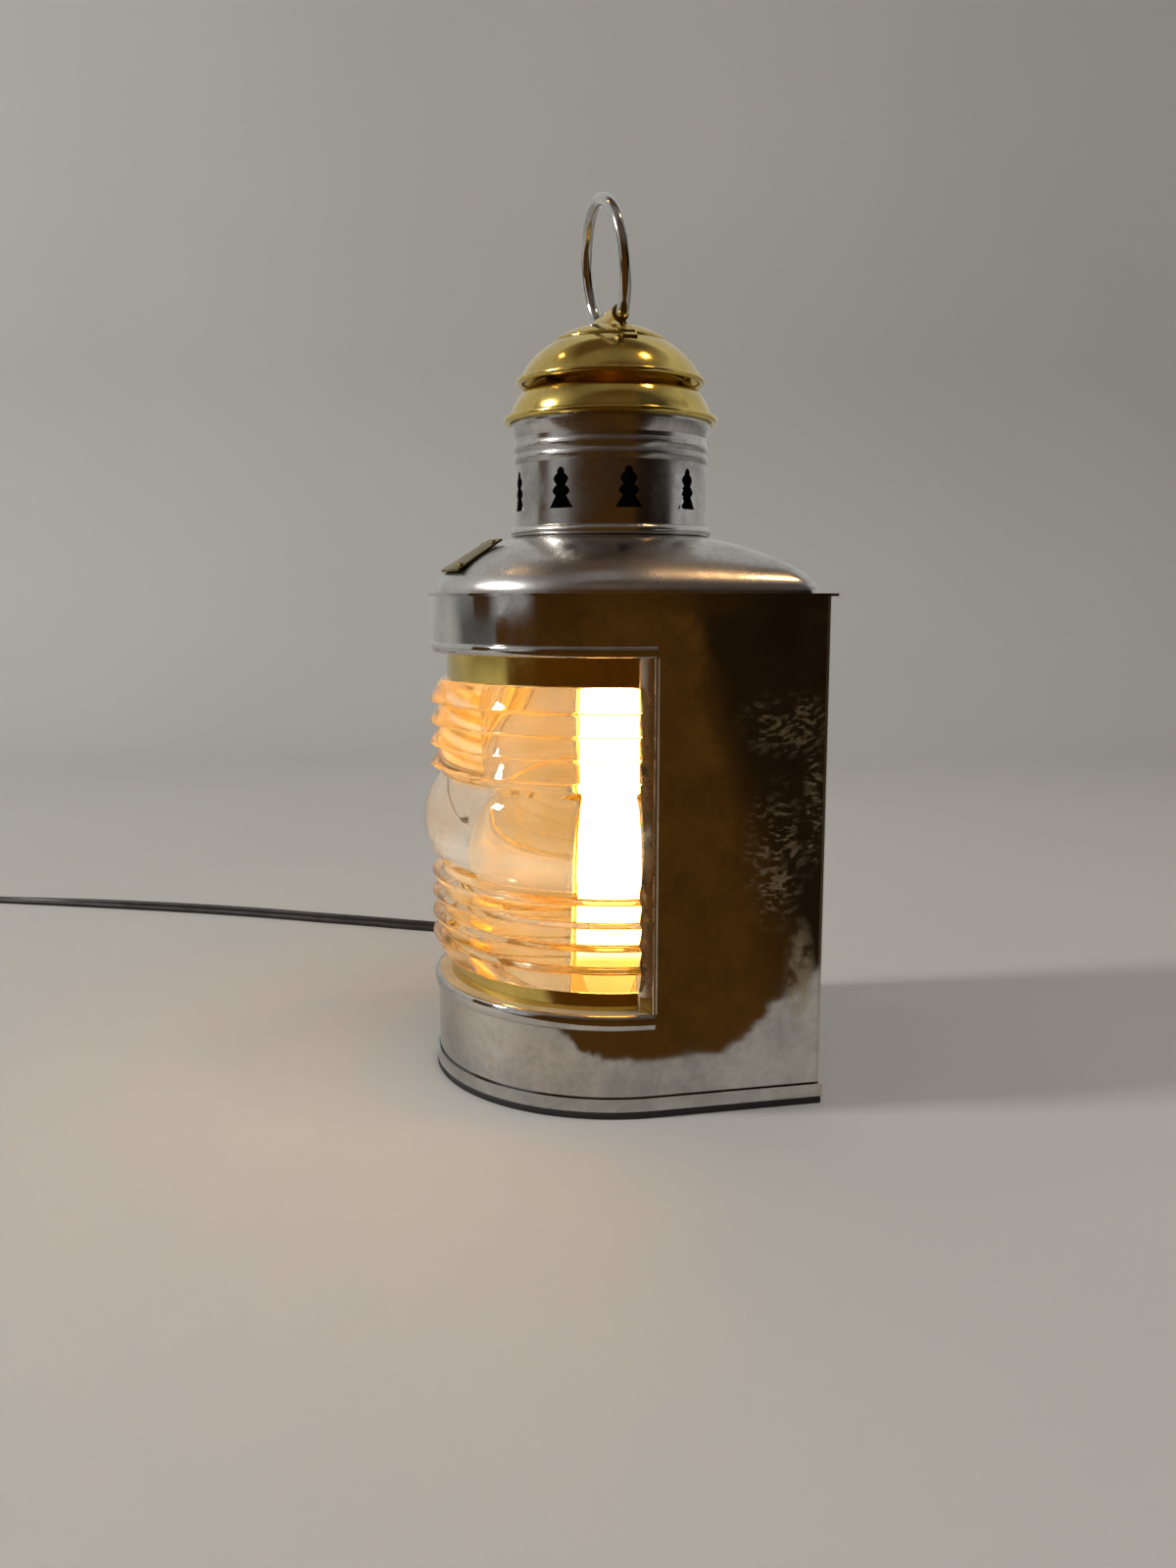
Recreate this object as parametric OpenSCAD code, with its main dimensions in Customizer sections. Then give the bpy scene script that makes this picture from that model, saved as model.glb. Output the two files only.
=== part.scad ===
// Masthead lantern with a half-round ribbed lens, electrified, with a lamp cord.
// Millimetres. The origin is on the lamp axis, on the surface that the lantern stands on.
// -Y is the front (the lens), +X is the port side, +Z is up.

/* [Body] */
// Half the width of the body, and the outer radius of its round front
body_r = 67.5; // [60:0.5:80]
// Length of the straight sides behind the lamp axis
side_l = 61.5; // [50:0.5:80]
// Thickness of the steel sheet
sheet = 0.8; // [0.6:0.1:1.2]
// Height of the wall, from the floor of the base pan to the top plate
wall_h = 178; // [170:0.5:200]

/* [Base] */
// Thickness of the rubber pad
pad_t = 2.7; // [1.5:0.1:5]
// How far the pad stands out past the pan's lip
pad_over = 0; // [0:0.1:2]
// Height of the base pan, from its underside to the edge of its lip
pan_h = 4.7; // [3:0.1:8]
// Gap between the pan's lip and the wall that slips into it
pan_gap = 0.3; // [0.2:0.05:0.5]

/* [Window] */
// Height of the sill above the table
sill_z = 37.5; // [34:0.5:45]
// Height of the window, from sill to head
window_h = 123.5; // [118:0.5:128]
// Height of the bead round the sill
sill_bead_h = 5.5; // [3:0.1:8]
// How far the sill's bead stands out of the wall
sill_bead_out = 1.4; // [0.8:0.1:2.5]
// Height of the bead round the head
head_bead_h = 4; // [3:0.1:8]
// How far the head's bead stands out of the wall
head_bead_out = 1.1; // [0.6:0.1:2.5]
// Length of the jambs' leg along the inside of the wall
jamb_leg = 8; // [5:0.5:12]

/* [Lens] */
// Depth of the glass's inner face behind the wall
lens_back = 13; // [11:0.5:15]
// Depth of the glass's plain edges behind the wall, where the brass bands cover them
edge_back = 6; // [5:0.25:7]
// Depth of the ribs' valleys behind the wall
valley_back = 2.7; // [2:0.1:4]
// How far the ribs' tips stand out past the wall
tip_out = 2; // [1:0.1:3]
// How far the middle of the central belt stands out past the wall
belt_out = 4.5; // [2:0.1:6]
// Height of the central belt
belt_h = 34.7; // [28:0.1:36]
// Ribs above the belt, and as many below it
rib_n = 4; // [3:1:4]
// Height from rib to rib
rib_pitch = 8; // [7:0.1:8.4]
// Height from the edge of the belt to the first rib's tip
rib_first = 3.4; // [2.5:0.1:4]
// Rise of the short face under each rib
rib_rise = 0.7; // [0.3:0.1:1.5]
// Width of the jambs' faces, from the side walls to the ends of the glass
jamb_w = 4.7; // [4:0.1:10]
// Thickness of the putty beds above and below the glass
seal_t = 1.2; // [0.8:0.1:2]
// Height of the brass band below the glass
low_band_h = 7; // [5:0.5:9]
// Height of the brass band above the glass
high_band_h = 10; // [7:0.5:11]
// Gap between the glass and what surrounds it
glass_gap = 0.2; // [0.1:0.05:0.4]
// Height of the folded brass tabs at the lower corners of the window
tab_h = 5.5; // [3:0.5:8]

/* [Shoulder] */
// Thickness of the top plate
plate_t = 1; // [0.8:0.1:1.6]
// How far the top plate stands out past the wall
plate_over = 2; // [1:0.1:4]
// How far the foot of the dome stands back from the wall
dome_in = 1; // [0.5:0.1:4]
// Height of the dome
dome_h = 20.5; // [15:0.5:28]
// Share of the dome's height that follows an ellipse, the rest being a cone
dome_round = 0.6; // [0.3:0.05:0.8]
// Corner radius of the dome's foot, at the back
dome_corner = 8; // [6:0.5:28]
// Width of the name plate
name_w = 36; // [20:1:46]
// Distance of the name plate's lower edge in from the dome's foot
name_low_in = 3.4; // [2.5:0.1:5]
// Distance of the name plate's upper edge out from the dome's neck
name_high_out = 7.5; // [5:0.1:10]
// Thickness of the name plate
name_t = 0.8; // [0.5:0.1:1.2]
// Diameter of the name plate's rivet heads
name_rivet_d = 2.6; // [2:0.1:3.5]

/* [Chimney] */
// Outer radius of the chimney
chimney_r = 35.8; // [32:0.1:38]
// Height of the chimney above the dome
chimney_h = 43; // [40:0.5:50]
// How far the chimney flares out at its top
flare = 1.4; // [0.5:0.1:2]
// Height of the flare
flare_h = 7; // [4:0.5:8]
// Height of each swaged ridge
ridge_h = 4; // [3:0.1:5]
// How far a ridge stands out
ridge_out = 0.7; // [0.3:0.1:1.2]
// Ridges round the chimney
ridge_n = 2; // [1:1:2]
// Height of the lowest ridge above the dome
ridge_z = 26.4; // [25:0.1:27]
// Height of the ring round the chimney's foot
neck_h = 4; // [2.5:0.1:6]
// How far that ring stands out of the chimney
neck_out = 2.2; // [1.2:0.1:3]
// Vents round the chimney
vent_n = 9; // [6:1:10]
// Height of a vent
vent_h = 14.4; // [10:0.1:15]
// Width of a vent at its foot
vent_w = 9.7; // [7:0.1:11]
// Height of the vents' feet above the dome
vent_z = 9.5; // [8:0.1:10]
// Turn of the vents round the chimney, from port
vent_turn = -3; // [-20:1:20]
// Distance of the inner flue inside the chimney's face
flue_in = 9.3; // [9:0.1:12]
// Height of the inner flue above the chimney
flue_up = 5; // [2:0.5:8]

/* [Cap] */
// Thickness of the brass sheet
brass = 0.8; // [0.6:0.1:1.2]
// How far the skirt's rolled rim stands out past the chimney
skirt_rim_out = 4.2; // [3.8:0.1:6]
// Section radius of the skirt's rolled rim
skirt_roll = 1.3; // [1:0.1:1.8]
// Distance of the skirt's smoke opening inside the chimney's face
skirt_hole_in = 7.8; // [7:0.1:8.5]
// Height of the skirt's crown above the chimney
skirt_h = 14; // [11:0.5:16]
// Bulge of the skirt's side
skirt_bulge = 1.9; // [1:0.1:2.4]
// Distance of the cap's rolled rim inside the chimney's face
cap_rim_in = 0.6; // [-1.5:0.1:1.5]
// Section radius of the cap's rolled rim
cap_roll = 1.1; // [0.8:0.1:1.6]
// Height of the cap's rim above the skirt's seat
cap_z = 14; // [12.5:0.1:16]
// Height from the rim to the step in the cap
cap_side_h = 14.3; // [12:0.1:16]
// Distance of the cap's step in from its rim
step_in = 14.3; // [12.5:0.1:16]
// Height of the step in the cap
step_h = 0.6; // [0.3:0.1:1]
// Height from the step to the flat of the crown
crown_h = 4.8; // [3.5:0.1:7]
// Radius of the flat of the crown
crown_r = 9; // [7:0.5:12]
// Bulge of the cap's side
cap_bulge = 1.65; // [1:0.05:2]
// Bulge of the crown
crown_bulge = 1; // [0.5:0.05:1.3]
// Stays that hold the cap over the skirt
stay_n = 3; // [3:1:4]
// Width of a stay
stay_w = 6; // [4:0.5:8]

/* [Ring] */
// Diameter of the ring's wire
wire_d = 4.76; // [4:0.02:5.2]
// Mean radius of the ring
ring_r = 23.5; // [22:0.5:28]
// Depth of the ring's straight run below its centre
ring_drop = 17.8; // [16:0.1:18.5]
// Turn of the ring and its lug, from athwartships
ring_turn = 3; // [-15:1:15]
// Lean of the ring at rest, towards the front
ring_lean = 7; // [-10:1:10]
// Running clearance of the ring in its lug, all round
ring_play = 0.08; // [0.04:0.01:0.1]
// Gap between the lug's ends and the ring's corners
ring_end_gap = 0.6; // [0.4:0.1:1]
// Width of the lug's tails
tail_w = 4.2; // [3:0.1:6]
// How far the lug's tails reach past the cap's step
tail_out = 3.1; // [1.5:0.1:5]
// Width of the lug's feet, at the ends of its tails
foot_w = 5.6; // [4.5:0.1:8]
// Length of the lug's feet
foot_l = 2.4; // [1.5:0.1:4]

/* [Mast bracket] */
// Width of the bracket's pocket
pocket_w = 44; // [30:1:60]
// Depth of the bracket's pocket
pocket_d = 6.5; // [5:0.1:9]
// Height of the bracket
pocket_h = 30; // [25:1:45]
// Height of the bracket's lower edge above the table
pocket_z = 118; // [100:1:130]
// Thickness of the bracket's strap
strap_t = 1.2; // [1:0.1:2]
// Width of the bracket's flanges
strap_flange = 11; // [9:0.5:15]
// Diameter of the bracket's rivet heads
rivet_d = 5; // [4:0.1:6.5]

/* [Lamp] */
// Height of the lamp bracket's bridge above the pan's floor
bridge_h = 11; // [10:0.5:13]
// Width of the lamp bracket
bridge_w = 16; // [14:0.5:24]
// Length of the bridge, between its bends
bridge_l = 34; // [28:1:44]
// Length of the lamp bracket's feet
bridge_foot = 14; // [11:0.5:18]
// Thickness of the lamp bracket
bridge_t = 1.2; // [1:0.1:2]
// Diameter of the bracket screws' shanks
screw_d = 3; // [2.5:0.1:4]
// Diameter of the stud that holds the socket
stud_d = 9.6; // [8:0.1:10]
// Width of the stud's nut across its flats
nut_w = 14; // [12.5:0.5:16]
// Height of the stud's nut
nut_h = 3; // [2.5:0.1:4]
// Outer diameter of the socket
socket_d = 24; // [22:0.5:28]
// Height of the socket
socket_h = 30; // [28:0.5:33]
// Thickness of the socket's floor
socket_floor = 6; // [5:0.5:8]
// Thickness of the socket's brass liner
liner_t = 0.6; // [0.4:0.1:1]
// Diameter of the bulb's screw base
bulb_base_d = 11.9; // [11:0.1:14]
// Height of the bulb's screw base
bulb_base_h = 24; // [22:0.5:27]
// Diameter of the bulb's tube
bulb_d = 25; // [22:0.5:32]
// Height of the bulb's glass above its base
bulb_h = 102; // [90:1:106]
// Thickness of the bulb's glass
bulb_t = 0.8; // [0.6:0.1:1.2]
// Play of the socket's pieces and the bulb in each other
lamp_play = 0.2; // [0.1:0.05:0.3]

/* [Cord] */
// Width of the flat two-core cord
cord_w = 5.5; // [5:0.1:6]
// Thickness of the cord
cord_t = 2.8; // [2.6:0.1:3]
// Height of the cord's way out of the body
cord_z = 17; // [16:0.5:20]
// Distance of the cord's way out behind the lamp axis
cord_y = 30; // [20:1:40]
// Diameter of the bushing's barrel
bush_d = 9; // [8.5:0.1:11]
// Length of the bushing's tapered relief
bush_l = 22; // [20:0.5:30]
// Diameter of the relief's tip
bush_tip_d = 7; // [6.6:0.1:8]
// Diameter of the bushing's collar inside the body
bush_collar_d = 13; // [12:0.1:15]
// Gap between the bushing and the slot in the wall
slot_gap = 0.6; // [0.4:0.1:1]
// Turns of the coil
coil_turns = 6.5; // [4.5:1:8.5]
// Radius of the coil's outer turn
coil_r = 41.5; // [36:0.5:50]
// Gap between the coil's turns
coil_gap = 0.6; // [0.5:0.05:1]
// Width of the tie round the coil
tie_w = 8; // [5:0.5:12]
// Thickness of the tie
tie_t = 0.6; // [0.4:0.1:1]
// Gap between the tie and the coil
tie_gap = 0.3; // [0.2:0.05:0.5]
// Length of the cord from the coil to the plug
lead_out = 28; // [27:1:40]
// Length of the plug's body
plug_l = 30; // [25:0.5:40]
// Width of the plug's body
plug_w = 23; // [21:0.5:28]
// Height of the plug's body
plug_h = 13; // [12:0.5:17]
// Length of the plug's blades
blade_l = 16; // [14:0.5:18]

/* [Hidden] */
$fn = 96;

STEEL = [0.62, 0.61, 0.58];
BRASS = [0.80, 0.62, 0.25];
GLASS = [0.95, 0.85, 0.65, 0.6];
BLACK = [0.08, 0.07, 0.07];
PUTTY = [0.75, 0.70, 0.60];
FROST = [1.00, 0.90, 0.70];

// Cap
skirt_rim_r = chimney_r + skirt_rim_out;
skirt_hole_r = chimney_r - skirt_hole_in;
cap_rim_r = chimney_r - cap_rim_in;
step_r = cap_rim_r - step_in;
tail_r = step_r + tail_out;
flue_r = chimney_r - flue_in;
flue_gap = 0.3;

// Heights of the seats, from the table up
floor_z = pad_t + sheet;
wall_top = floor_z + wall_h;
head_z = sill_z + window_h;
dome_z = wall_top + plate_t;
neck_z = dome_z + dome_h;
seat_z = neck_z + chimney_h;
cap_rim_z = seat_z + cap_z;
step_z = cap_rim_z + cap_side_h;
crown_z = step_z + step_h + crown_h;

// Lens
lens_in_r = body_r - lens_back;
lens_edge_r = body_r - edge_back;
valley_r = body_r - valley_back;
tip_r = body_r + tip_out;
belt_r = body_r + belt_out;
lens_low = sill_z + seal_t;
lens_high = head_z - seal_t;
rib_low = sill_z + low_band_h;
rib_high = head_z - high_band_h;
lens_mid = (rib_low + rib_high) / 2;
// Half the angle that the glass spans, from the front
lens_half = 90 - jamb_w / lens_edge_r * 180 / PI;
belt_sag = belt_r - valley_r;
belt_arc = (pow(belt_h / 2, 2) + pow(belt_sag, 2)) / (2 * belt_sag);
belt_steps = 8;
band_in_r = lens_edge_r + glass_gap;
band_r = band_in_r + brass;

// Shoulder
neck_r = chimney_r + neck_out;
dome_lip_r = chimney_r - 2 * sheet;
foot_r = body_r - dome_in;
name_low_r = foot_r - name_low_in;
name_high_r = neck_r + name_high_out;
plate_hole_in = dome_in + 3 * sheet;
dome_levels = 10;
dome_around = 96;
name_air = 0.2;

// Lug and ring
barrel_r = wire_d / 2 + ring_play + brass;
barrel_z = crown_z + barrel_r;
run_half = sqrt(ring_r * ring_r - ring_drop * ring_drop);
run_a = atan2(-ring_drop, run_half);
barrel_l = 2 * (run_half - wire_d / 2 - ring_end_gap);
corner_swell = 0.04;

// Lamp
bridge_z = floor_z + bridge_h;
screw_y = bridge_l / 2 + bridge_foot - screw_d * 1.6;
bridge_rake = 4;
screw_head_d = screw_d * 1.9;
screw_head_h = screw_d * 0.5;
screw_gap = 0.1;
socket_z = bridge_z + bridge_t;
liner_z = socket_z + socket_floor;
liner_in_r = bulb_base_d / 2 + lamp_play;
liner_r = liner_in_r + liner_t;
base_low = liner_z + liner_t;
base_high = base_low + bulb_base_h;
bulb_neck_r = bulb_base_d / 2 - liner_t - lamp_play;
bulb_top = base_high + bulb_h;
bulb_neck_h = 8;
bulb_shoulder_h = 10;

// Cord
core_out = (cord_w - cord_t) / 2;
bush_x = body_r + bush_l;
tab_x = body_r - sheet - 2 * pan_gap - sheet;
tab_w = bush_collar_d + 4;
tab_top = cord_z + bush_collar_d / 2 + 1;
bore_gap = 0.15;
collar_t = 3;
collar_x = tab_x - sheet - collar_t;
boss_turn = 150;
boss_out = 2;
boss_r = socket_d / 2 + boss_out;
boss_w = cord_w + 3;
boss_z = socket_z + boss_w / 2;
// Points of the free cord: place on the table, height above it where it is lifted, and roll
LAID = [[-104, 30, 13.2, 0], [-116, 29, 9.6, 0], [-128, 26, 5.6, 10], [-140, 21, 2.4, 20],
    [-152, 13, 0.6, 30], [-164, 2, 0, 40], [-176, -12, 0, 50], [-188, -29, 0, 60],
    [-199, -47, 0, 65], [-210, -67, 0, 70], [-222, -88, 0, 70], [-234, -110, 0, 70],
    [-247, -133, 0, 70], [-260, -157, 0, 65], [-273, -183, 0, 60], [-286, -211, 0, 50],
    [-299, -240, 0, 40], [-311, -268, 0, 25], [-323, -296, 0, 10], [-333, -320, 0.4, 0],
    [-343, -344, 0.8, 0]];
// Points of the lead inside the body, between its straight ends
INSIDE = [[-48, 29, 17.5], [-40, 25.5, 18.5], [-32, 20, 19.5]];
coil_lift = tie_t + tie_gap;
coil_pitch = cord_w + coil_gap;
layer_pitch = cord_t + coil_gap;
loop_rings = 24;
coil_climb = 0.5;

// Unit vector of a flat vector
function unit(v) = v / norm(v);
// A flat direction
function heading(a) = [cos(a), sin(a)];
// The side of a flat run from p to q that is on its right
function right_of(p, q) = let (d = unit(q - p)) [d[1], -d[0]];
// A line of points moved to its right by t, with mitred corners
function beside(points, t) = [
    for (i = [0 : len(points) - 1])
        let (last = len(points) - 1)
        let (n1 = right_of(points[max(i - 1, 0)], points[max(i, 1)]))
        let (n2 = right_of(points[min(i, last - 1)], points[min(i + 1, last)]))
        points[i] + t * (n1 + n2) / (1 + n1 * n2)];
// A list in reverse
function reversed(list) = [for (i = [len(list) - 1 : -1 : 0]) list[i]];
// The outline of a strip of sheet with one face along a line of points
function strip(points, t) = concat(points, reversed(beside(points, t)));
// Points on an arc from p to q that bulges to its right
function arc(p, q, bulge, steps) =
    let (half = 2 * atan(2 * bulge / norm(q - p)))
    let (r = norm(q - p) / 2 / sin(half))
    [for (i = [0 : steps])
        let (a = half * (2 * i / steps - 1))
        (p + q) / 2 + unit(q - p) * r * sin(a) + right_of(p, q) * r * (cos(a) - cos(half))];
// Height of a profile at a radius, for a profile whose radius falls from point to point
function height_at(profile, r) = lookup(r, reversed(profile));

// Distance from the lamp axis to the U-shaped outline in a direction
function plan_reach(a, grow, corner) =
    let (r = body_r + grow)
    let (back = side_l + grow)
    let (u = [abs(cos(a)), sin(a)])
    let (straight = min(r / max(u[0], 0.0001), back / max(u[1], 0.0001)))
    let (centre = [r - corner, back - corner])
    let (p = u * straight)
    let (along = centre * u)
    u[1] <= 0 ? r :
    p[0] > centre[0] && p[1] > centre[1]
        ? along + sqrt(along * along - centre * centre + corner * corner)
        : straight;

// The dome's front profile: at 0 it is the foot, at 90 the neck
function dome_share(a) = cos(a);
function dome_rise(a) = dome_h * (dome_round * sin(a) + (1 - dome_round) * (1 - cos(a)));
function dome_normal(a) = unit([
    dome_h * (dome_round * cos(a) + (1 - dome_round) * sin(a)), (foot_r - neck_r) * sin(a)]);
// Angle on the dome's profile at a radius of the front
function dome_angle(r) = acos((r - neck_r) / (foot_r - neck_r));
function dome_point(r) = [r, dome_z + dome_rise(dome_angle(r))];

// One ring of the dome, on its outer face or one sheet inside it
function dome_ring(a, depth) =
    let (n = dome_normal(a))
    [for (j = [0 : dome_around - 1])
        let (turn = 360 * j / dome_around)
        let (reach = plan_reach(turn, -dome_in, dome_corner))
        let (r = neck_r + dome_share(a) * (reach - neck_r) - depth * n[0])
        [r * cos(turn), r * sin(turn), dome_z + dome_rise(a) - depth * n[1]]];
function flat_ring(r, z) = [
    for (j = [0 : dome_around - 1])
        let (turn = 360 * j / dome_around)
        [r * cos(turn), r * sin(turn), z]];

// Faces between rings of points, each ring joined to the next, the last to the first if closed
function ring_faces(rings, sides, closed) = [
    for (i = [0 : rings - (closed ? 1 : 2)], j = [0 : sides - 1], half = [0, 1])
        let (k = (i + 1) % rings)
        let (m = (j + 1) % sides)
        half == 0
            ? [i * sides + j, k * sides + j, i * sides + m]
            : [i * sides + m, k * sides + j, k * sides + m]];
function fan_faces(first, sides, flip) = [
    for (j = [1 : sides - 2])
        flip ? [first, first + j, first + j + 1] : [first, first + j + 1, first + j]];

// One ring of a flat cord's tube, rolled about its line
function cord_ring(p, along, roll, sides, w, t) =
    let (level = unit([along[1], -along[0], 0]))
    let (up = cross(level, along))
    [for (j = [0 : sides - 1])
        let (a = 360 * (j + 0.5) / sides)
        let (x = w / 2 * cos(a))
        let (y = t / 2 * sin(a))
        p + level * (x * cos(roll) - y * sin(roll)) + up * (x * sin(roll) + y * cos(roll))];
// Direction of a line at its point i
function along_at(points, i) =
    unit(points[min(i + 1, len(points) - 1)] - points[max(i - 1, 0)]);
// Half the height of the cord at a roll
function lay_half(roll) = sqrt(pow(cord_w / 2 * sin(roll), 2) + pow(cord_t / 2 * cos(roll), 2));

// The free cord's line, from the bushing's tip to the coil
cord_start = [-bush_x, cord_y, cord_z];
cord_line = concat(
    [cord_start, cord_start - [cord_w, 0, 0]],
    [for (p = LAID) [p[0], p[1], p[2] + lay_half(p[3])]]);
cord_rolls = concat([0, 0], [for (p = LAID) p[3]]);

// The lead's line, from the bushing's collar to the socket's boss
boss_way = [cos(boss_turn), sin(boss_turn), 0];
lead_start = [-collar_x, cord_y, cord_z];
lead_end = boss_way * boss_r + [0, 0, boss_z];
lead_line = concat([lead_start, lead_start + [cord_w, 0, 0]], INSIDE,
    [lead_end + boss_way * cord_w, lead_end]);

// The coil's line: in along the lower layer, up in half a turn, and out along the upper one
coil_start = cord_line[len(cord_line) - 1];
coil_way = unit([for (k = [0, 1]) coil_start[k] - cord_line[len(cord_line) - 2][k]]);
coil_side = [-coil_way[1], coil_way[0]];
coil_entry = [coil_start[0], coil_start[1]] + coil_way * cord_w;
coil_centre = coil_entry + coil_side * coil_r;
coil_low_z = coil_lift + cord_t / 2;
coil_first = atan2(-coil_side[1], -coil_side[0]);
function ease(x) = let (c = min(max(x, 0), 1)) c * c * (3 - 2 * c);
function coil_radius(turn) = coil_r - coil_pitch * min(turn, coil_turns - turn);
function coil_height(turn) =
    coil_low_z + layer_pitch * ease((turn - coil_turns / 2) / coil_climb + 0.5);
function coil_point(turn) =
    let (p = coil_centre + coil_radius(turn) * heading(coil_first + 360 * turn))
    [p[0], p[1], coil_height(turn)];
coil_last = coil_point(coil_turns);
coil_out = -coil_way;
plug_axis_z = max(plug_h / 2, coil_last[2]);
coil_exit = [coil_last[0], coil_last[1]] + coil_out * lead_out;
coil_line = concat(
    [coil_start],
    [for (i = [0 : coil_turns * loop_rings]) coil_point(i / loop_rings)],
    [[coil_exit[0], coil_exit[1], plug_axis_z]
        - [coil_out[0], coil_out[1], 0] * cord_w],
    [[coil_exit[0], coil_exit[1], plug_axis_z]]);
// Least gap between the coil's turns, on points along both cores
coil_cores = [
    for (i = [0 : coil_turns * loop_rings], s = [-1, 1])
        let (turn = i / loop_rings)
        let (p = coil_centre + (coil_radius(turn) + s * core_out) * heading(coil_first + 360 * turn))
        [p[0], p[1], coil_height(turn)]];
coil_gaps = [
    for (i = [0 : len(coil_cores) - 1], j = [i + loop_rings : 1 : len(coil_cores) - 1])
        norm(coil_cores[i] - coil_cores[j]) - cord_t];
echo(least_gap_in_coil = min(coil_gaps));

// Outline of the body in plan, grown by an offset, with round back corners where asked
module plan(grow, corner = 0) {
    r = body_r + grow;
    back = side_l + grow;
    intersection() {
        circle(r);
        translate([-r, -r]) square([2 * r, r]);
    }
    translate([-r, 0]) square([2 * r, back - corner]);
    if (corner > 0) {
        translate([corner - r, 0]) square([2 * (r - corner), back]);
        for (side = [-1, 1]) translate([side * (r - corner), back - corner]) circle(corner);
    }
}

// Sweeps a profile round the front, half degrees to each side
module front_sweep(half) {
    rotate([0, 0, -90 - half]) rotate_extrude(angle = 2 * half) children();
}

// A tube through a line of points
module tube(points, rolls, sides, w, t) {
    count = len(points);
    rings = [for (i = [0 : count - 1])
        cord_ring(points[i], along_at(points, i), rolls[i], sides, w, t)];
    polyhedron(
        [for (r = rings, p = r) p],
        concat(ring_faces(count, sides, false), fan_faces(0, sides, true),
            fan_faces((count - 1) * sides, sides, false)));
}

// A domed rivet on its seat, along +Z
module rivet(head_d, shank_d, shank_l) {
    head_h = head_d * 0.3;
    ball_r = (pow(head_d / 2, 2) + pow(head_h, 2)) / (2 * head_h);
    intersection() {
        translate([0, 0, head_h - ball_r]) sphere(ball_r);
        cylinder(h = head_h, d = head_d);
    }
    translate([0, 0, -shank_l]) cylinder(h = shank_l, d = shank_d);
}

// Base

module base_pad() {
    color(BLACK) linear_extrude(pad_t) plan(pan_gap + sheet + pad_over);
}

module base_pan() {
    color(STEEL) {
        difference() {
            translate([0, 0, pad_t]) linear_extrude(pan_h) plan(pan_gap + sheet);
            translate([0, 0, floor_z]) linear_extrude(pan_h) plan(pan_gap);
            for (side = [-1, 1])
                translate([0, side * screw_y, pad_t - 1]) cylinder(h = sheet + 2, d = screw_d);
        }
        difference() {
            translate([-tab_x, cord_y - tab_w / 2, floor_z]) cube([sheet, tab_w, tab_top - floor_z]);
            translate([-tab_x - 1, cord_y, cord_z])
                rotate([0, 90, 0]) cylinder(h = sheet + 2, d = bush_d + 2 * bore_gap);
        }
    }
}

module lamp_bracket() {
    half = bridge_l / 2;
    line = [[half + bridge_foot, floor_z + bridge_t], [half, floor_z + bridge_t],
        [half - bridge_rake, socket_z], [bridge_rake - half, socket_z],
        [-half, floor_z + bridge_t], [-half - bridge_foot, floor_z + bridge_t]];
    color(STEEL) difference() {
        translate([-bridge_w / 2, 0, 0]) rotate([90, 0, 90])
            linear_extrude(bridge_w) polygon(strip(reversed(line), bridge_t));
        translate([0, 0, bridge_z - 1]) cylinder(h = bridge_t + 2, d = stud_d + 2 * bore_gap);
        for (side = [-1, 1])
            translate([0, side * screw_y, floor_z - 1])
                cylinder(h = bridge_t + 2, d = screw_d + 2 * screw_gap);
    }
}

module bracket_screws() {
    color(STEEL) for (side = [-1, 1]) translate([0, side * screw_y, floor_z + bridge_t]) {
        difference() {
            cylinder(h = screw_head_h, d = screw_head_d);
            translate([-screw_head_d, -screw_d / 10, screw_head_h / 2])
                cube([2 * screw_head_d, screw_d / 5, screw_head_h]);
        }
        translate([0, 0, -bridge_t - sheet])
            cylinder(h = bridge_t + sheet, d = screw_d - 2 * screw_gap);
    }
}

module socket_stud() {
    color(BRASS) translate([0, 0, bridge_z - nut_h - 1])
        cylinder(h = nut_h + 1 + bridge_t + socket_floor / 2, d = stud_d);
}

module stud_nut() {
    color(BRASS) translate([0, 0, bridge_z - nut_h]) difference() {
        cylinder(h = nut_h, d = nut_w / cos(30), $fn = 6);
        translate([0, 0, -1]) cylinder(h = nut_h + 2, d = stud_d + 2 * bore_gap);
    }
}

module socket_shell() {
    color(BLACK) difference() {
        union() {
            translate([0, 0, socket_z]) cylinder(h = socket_h, d = socket_d);
            rotate([0, 0, boss_turn]) translate([boss_r - 2 * boss_out, -boss_w / 2, socket_z])
                cube([2 * boss_out, boss_w, boss_w]);
        }
        translate([0, 0, liner_z]) cylinder(h = socket_h, r = liner_r + lamp_play);
        translate([0, 0, socket_z - 1])
            cylinder(h = socket_floor / 2 + 1, d = stud_d + 2 * bore_gap);
    }
}

module socket_liner() {
    color(BRASS) difference() {
        translate([0, 0, liner_z]) cylinder(h = socket_h - socket_floor - 1, r = liner_r);
        translate([0, 0, base_low]) cylinder(h = socket_h, r = liner_in_r);
    }
}

module bulb_base() {
    color(BRASS) difference() {
        translate([0, 0, base_low]) cylinder(h = bulb_base_h, d = bulb_base_d);
        translate([0, 0, base_high - bulb_neck_h])
            cylinder(h = bulb_neck_h + 1, r = bulb_base_d / 2 - liner_t);
    }
}

module bulb_glass() {
    r = bulb_d / 2;
    neck_low = base_high - bulb_neck_h;
    shoulder = base_high + bulb_shoulder_h;
    crown = bulb_top - r;
    line = concat(
        [[bulb_neck_r, neck_low], [bulb_neck_r, base_high]],
        arc([bulb_neck_r + liner_t, base_high], [r, shoulder], 1.5, 6),
        [for (a = [0 : 10 : 80]) [r * cos(a), crown + r * sin(a)]]);
    color(FROST) rotate_extrude() polygon(concat(
        line, [[0, bulb_top], [0, bulb_top - bulb_t]], reversed(beside(line, -bulb_t))));
}

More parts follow.
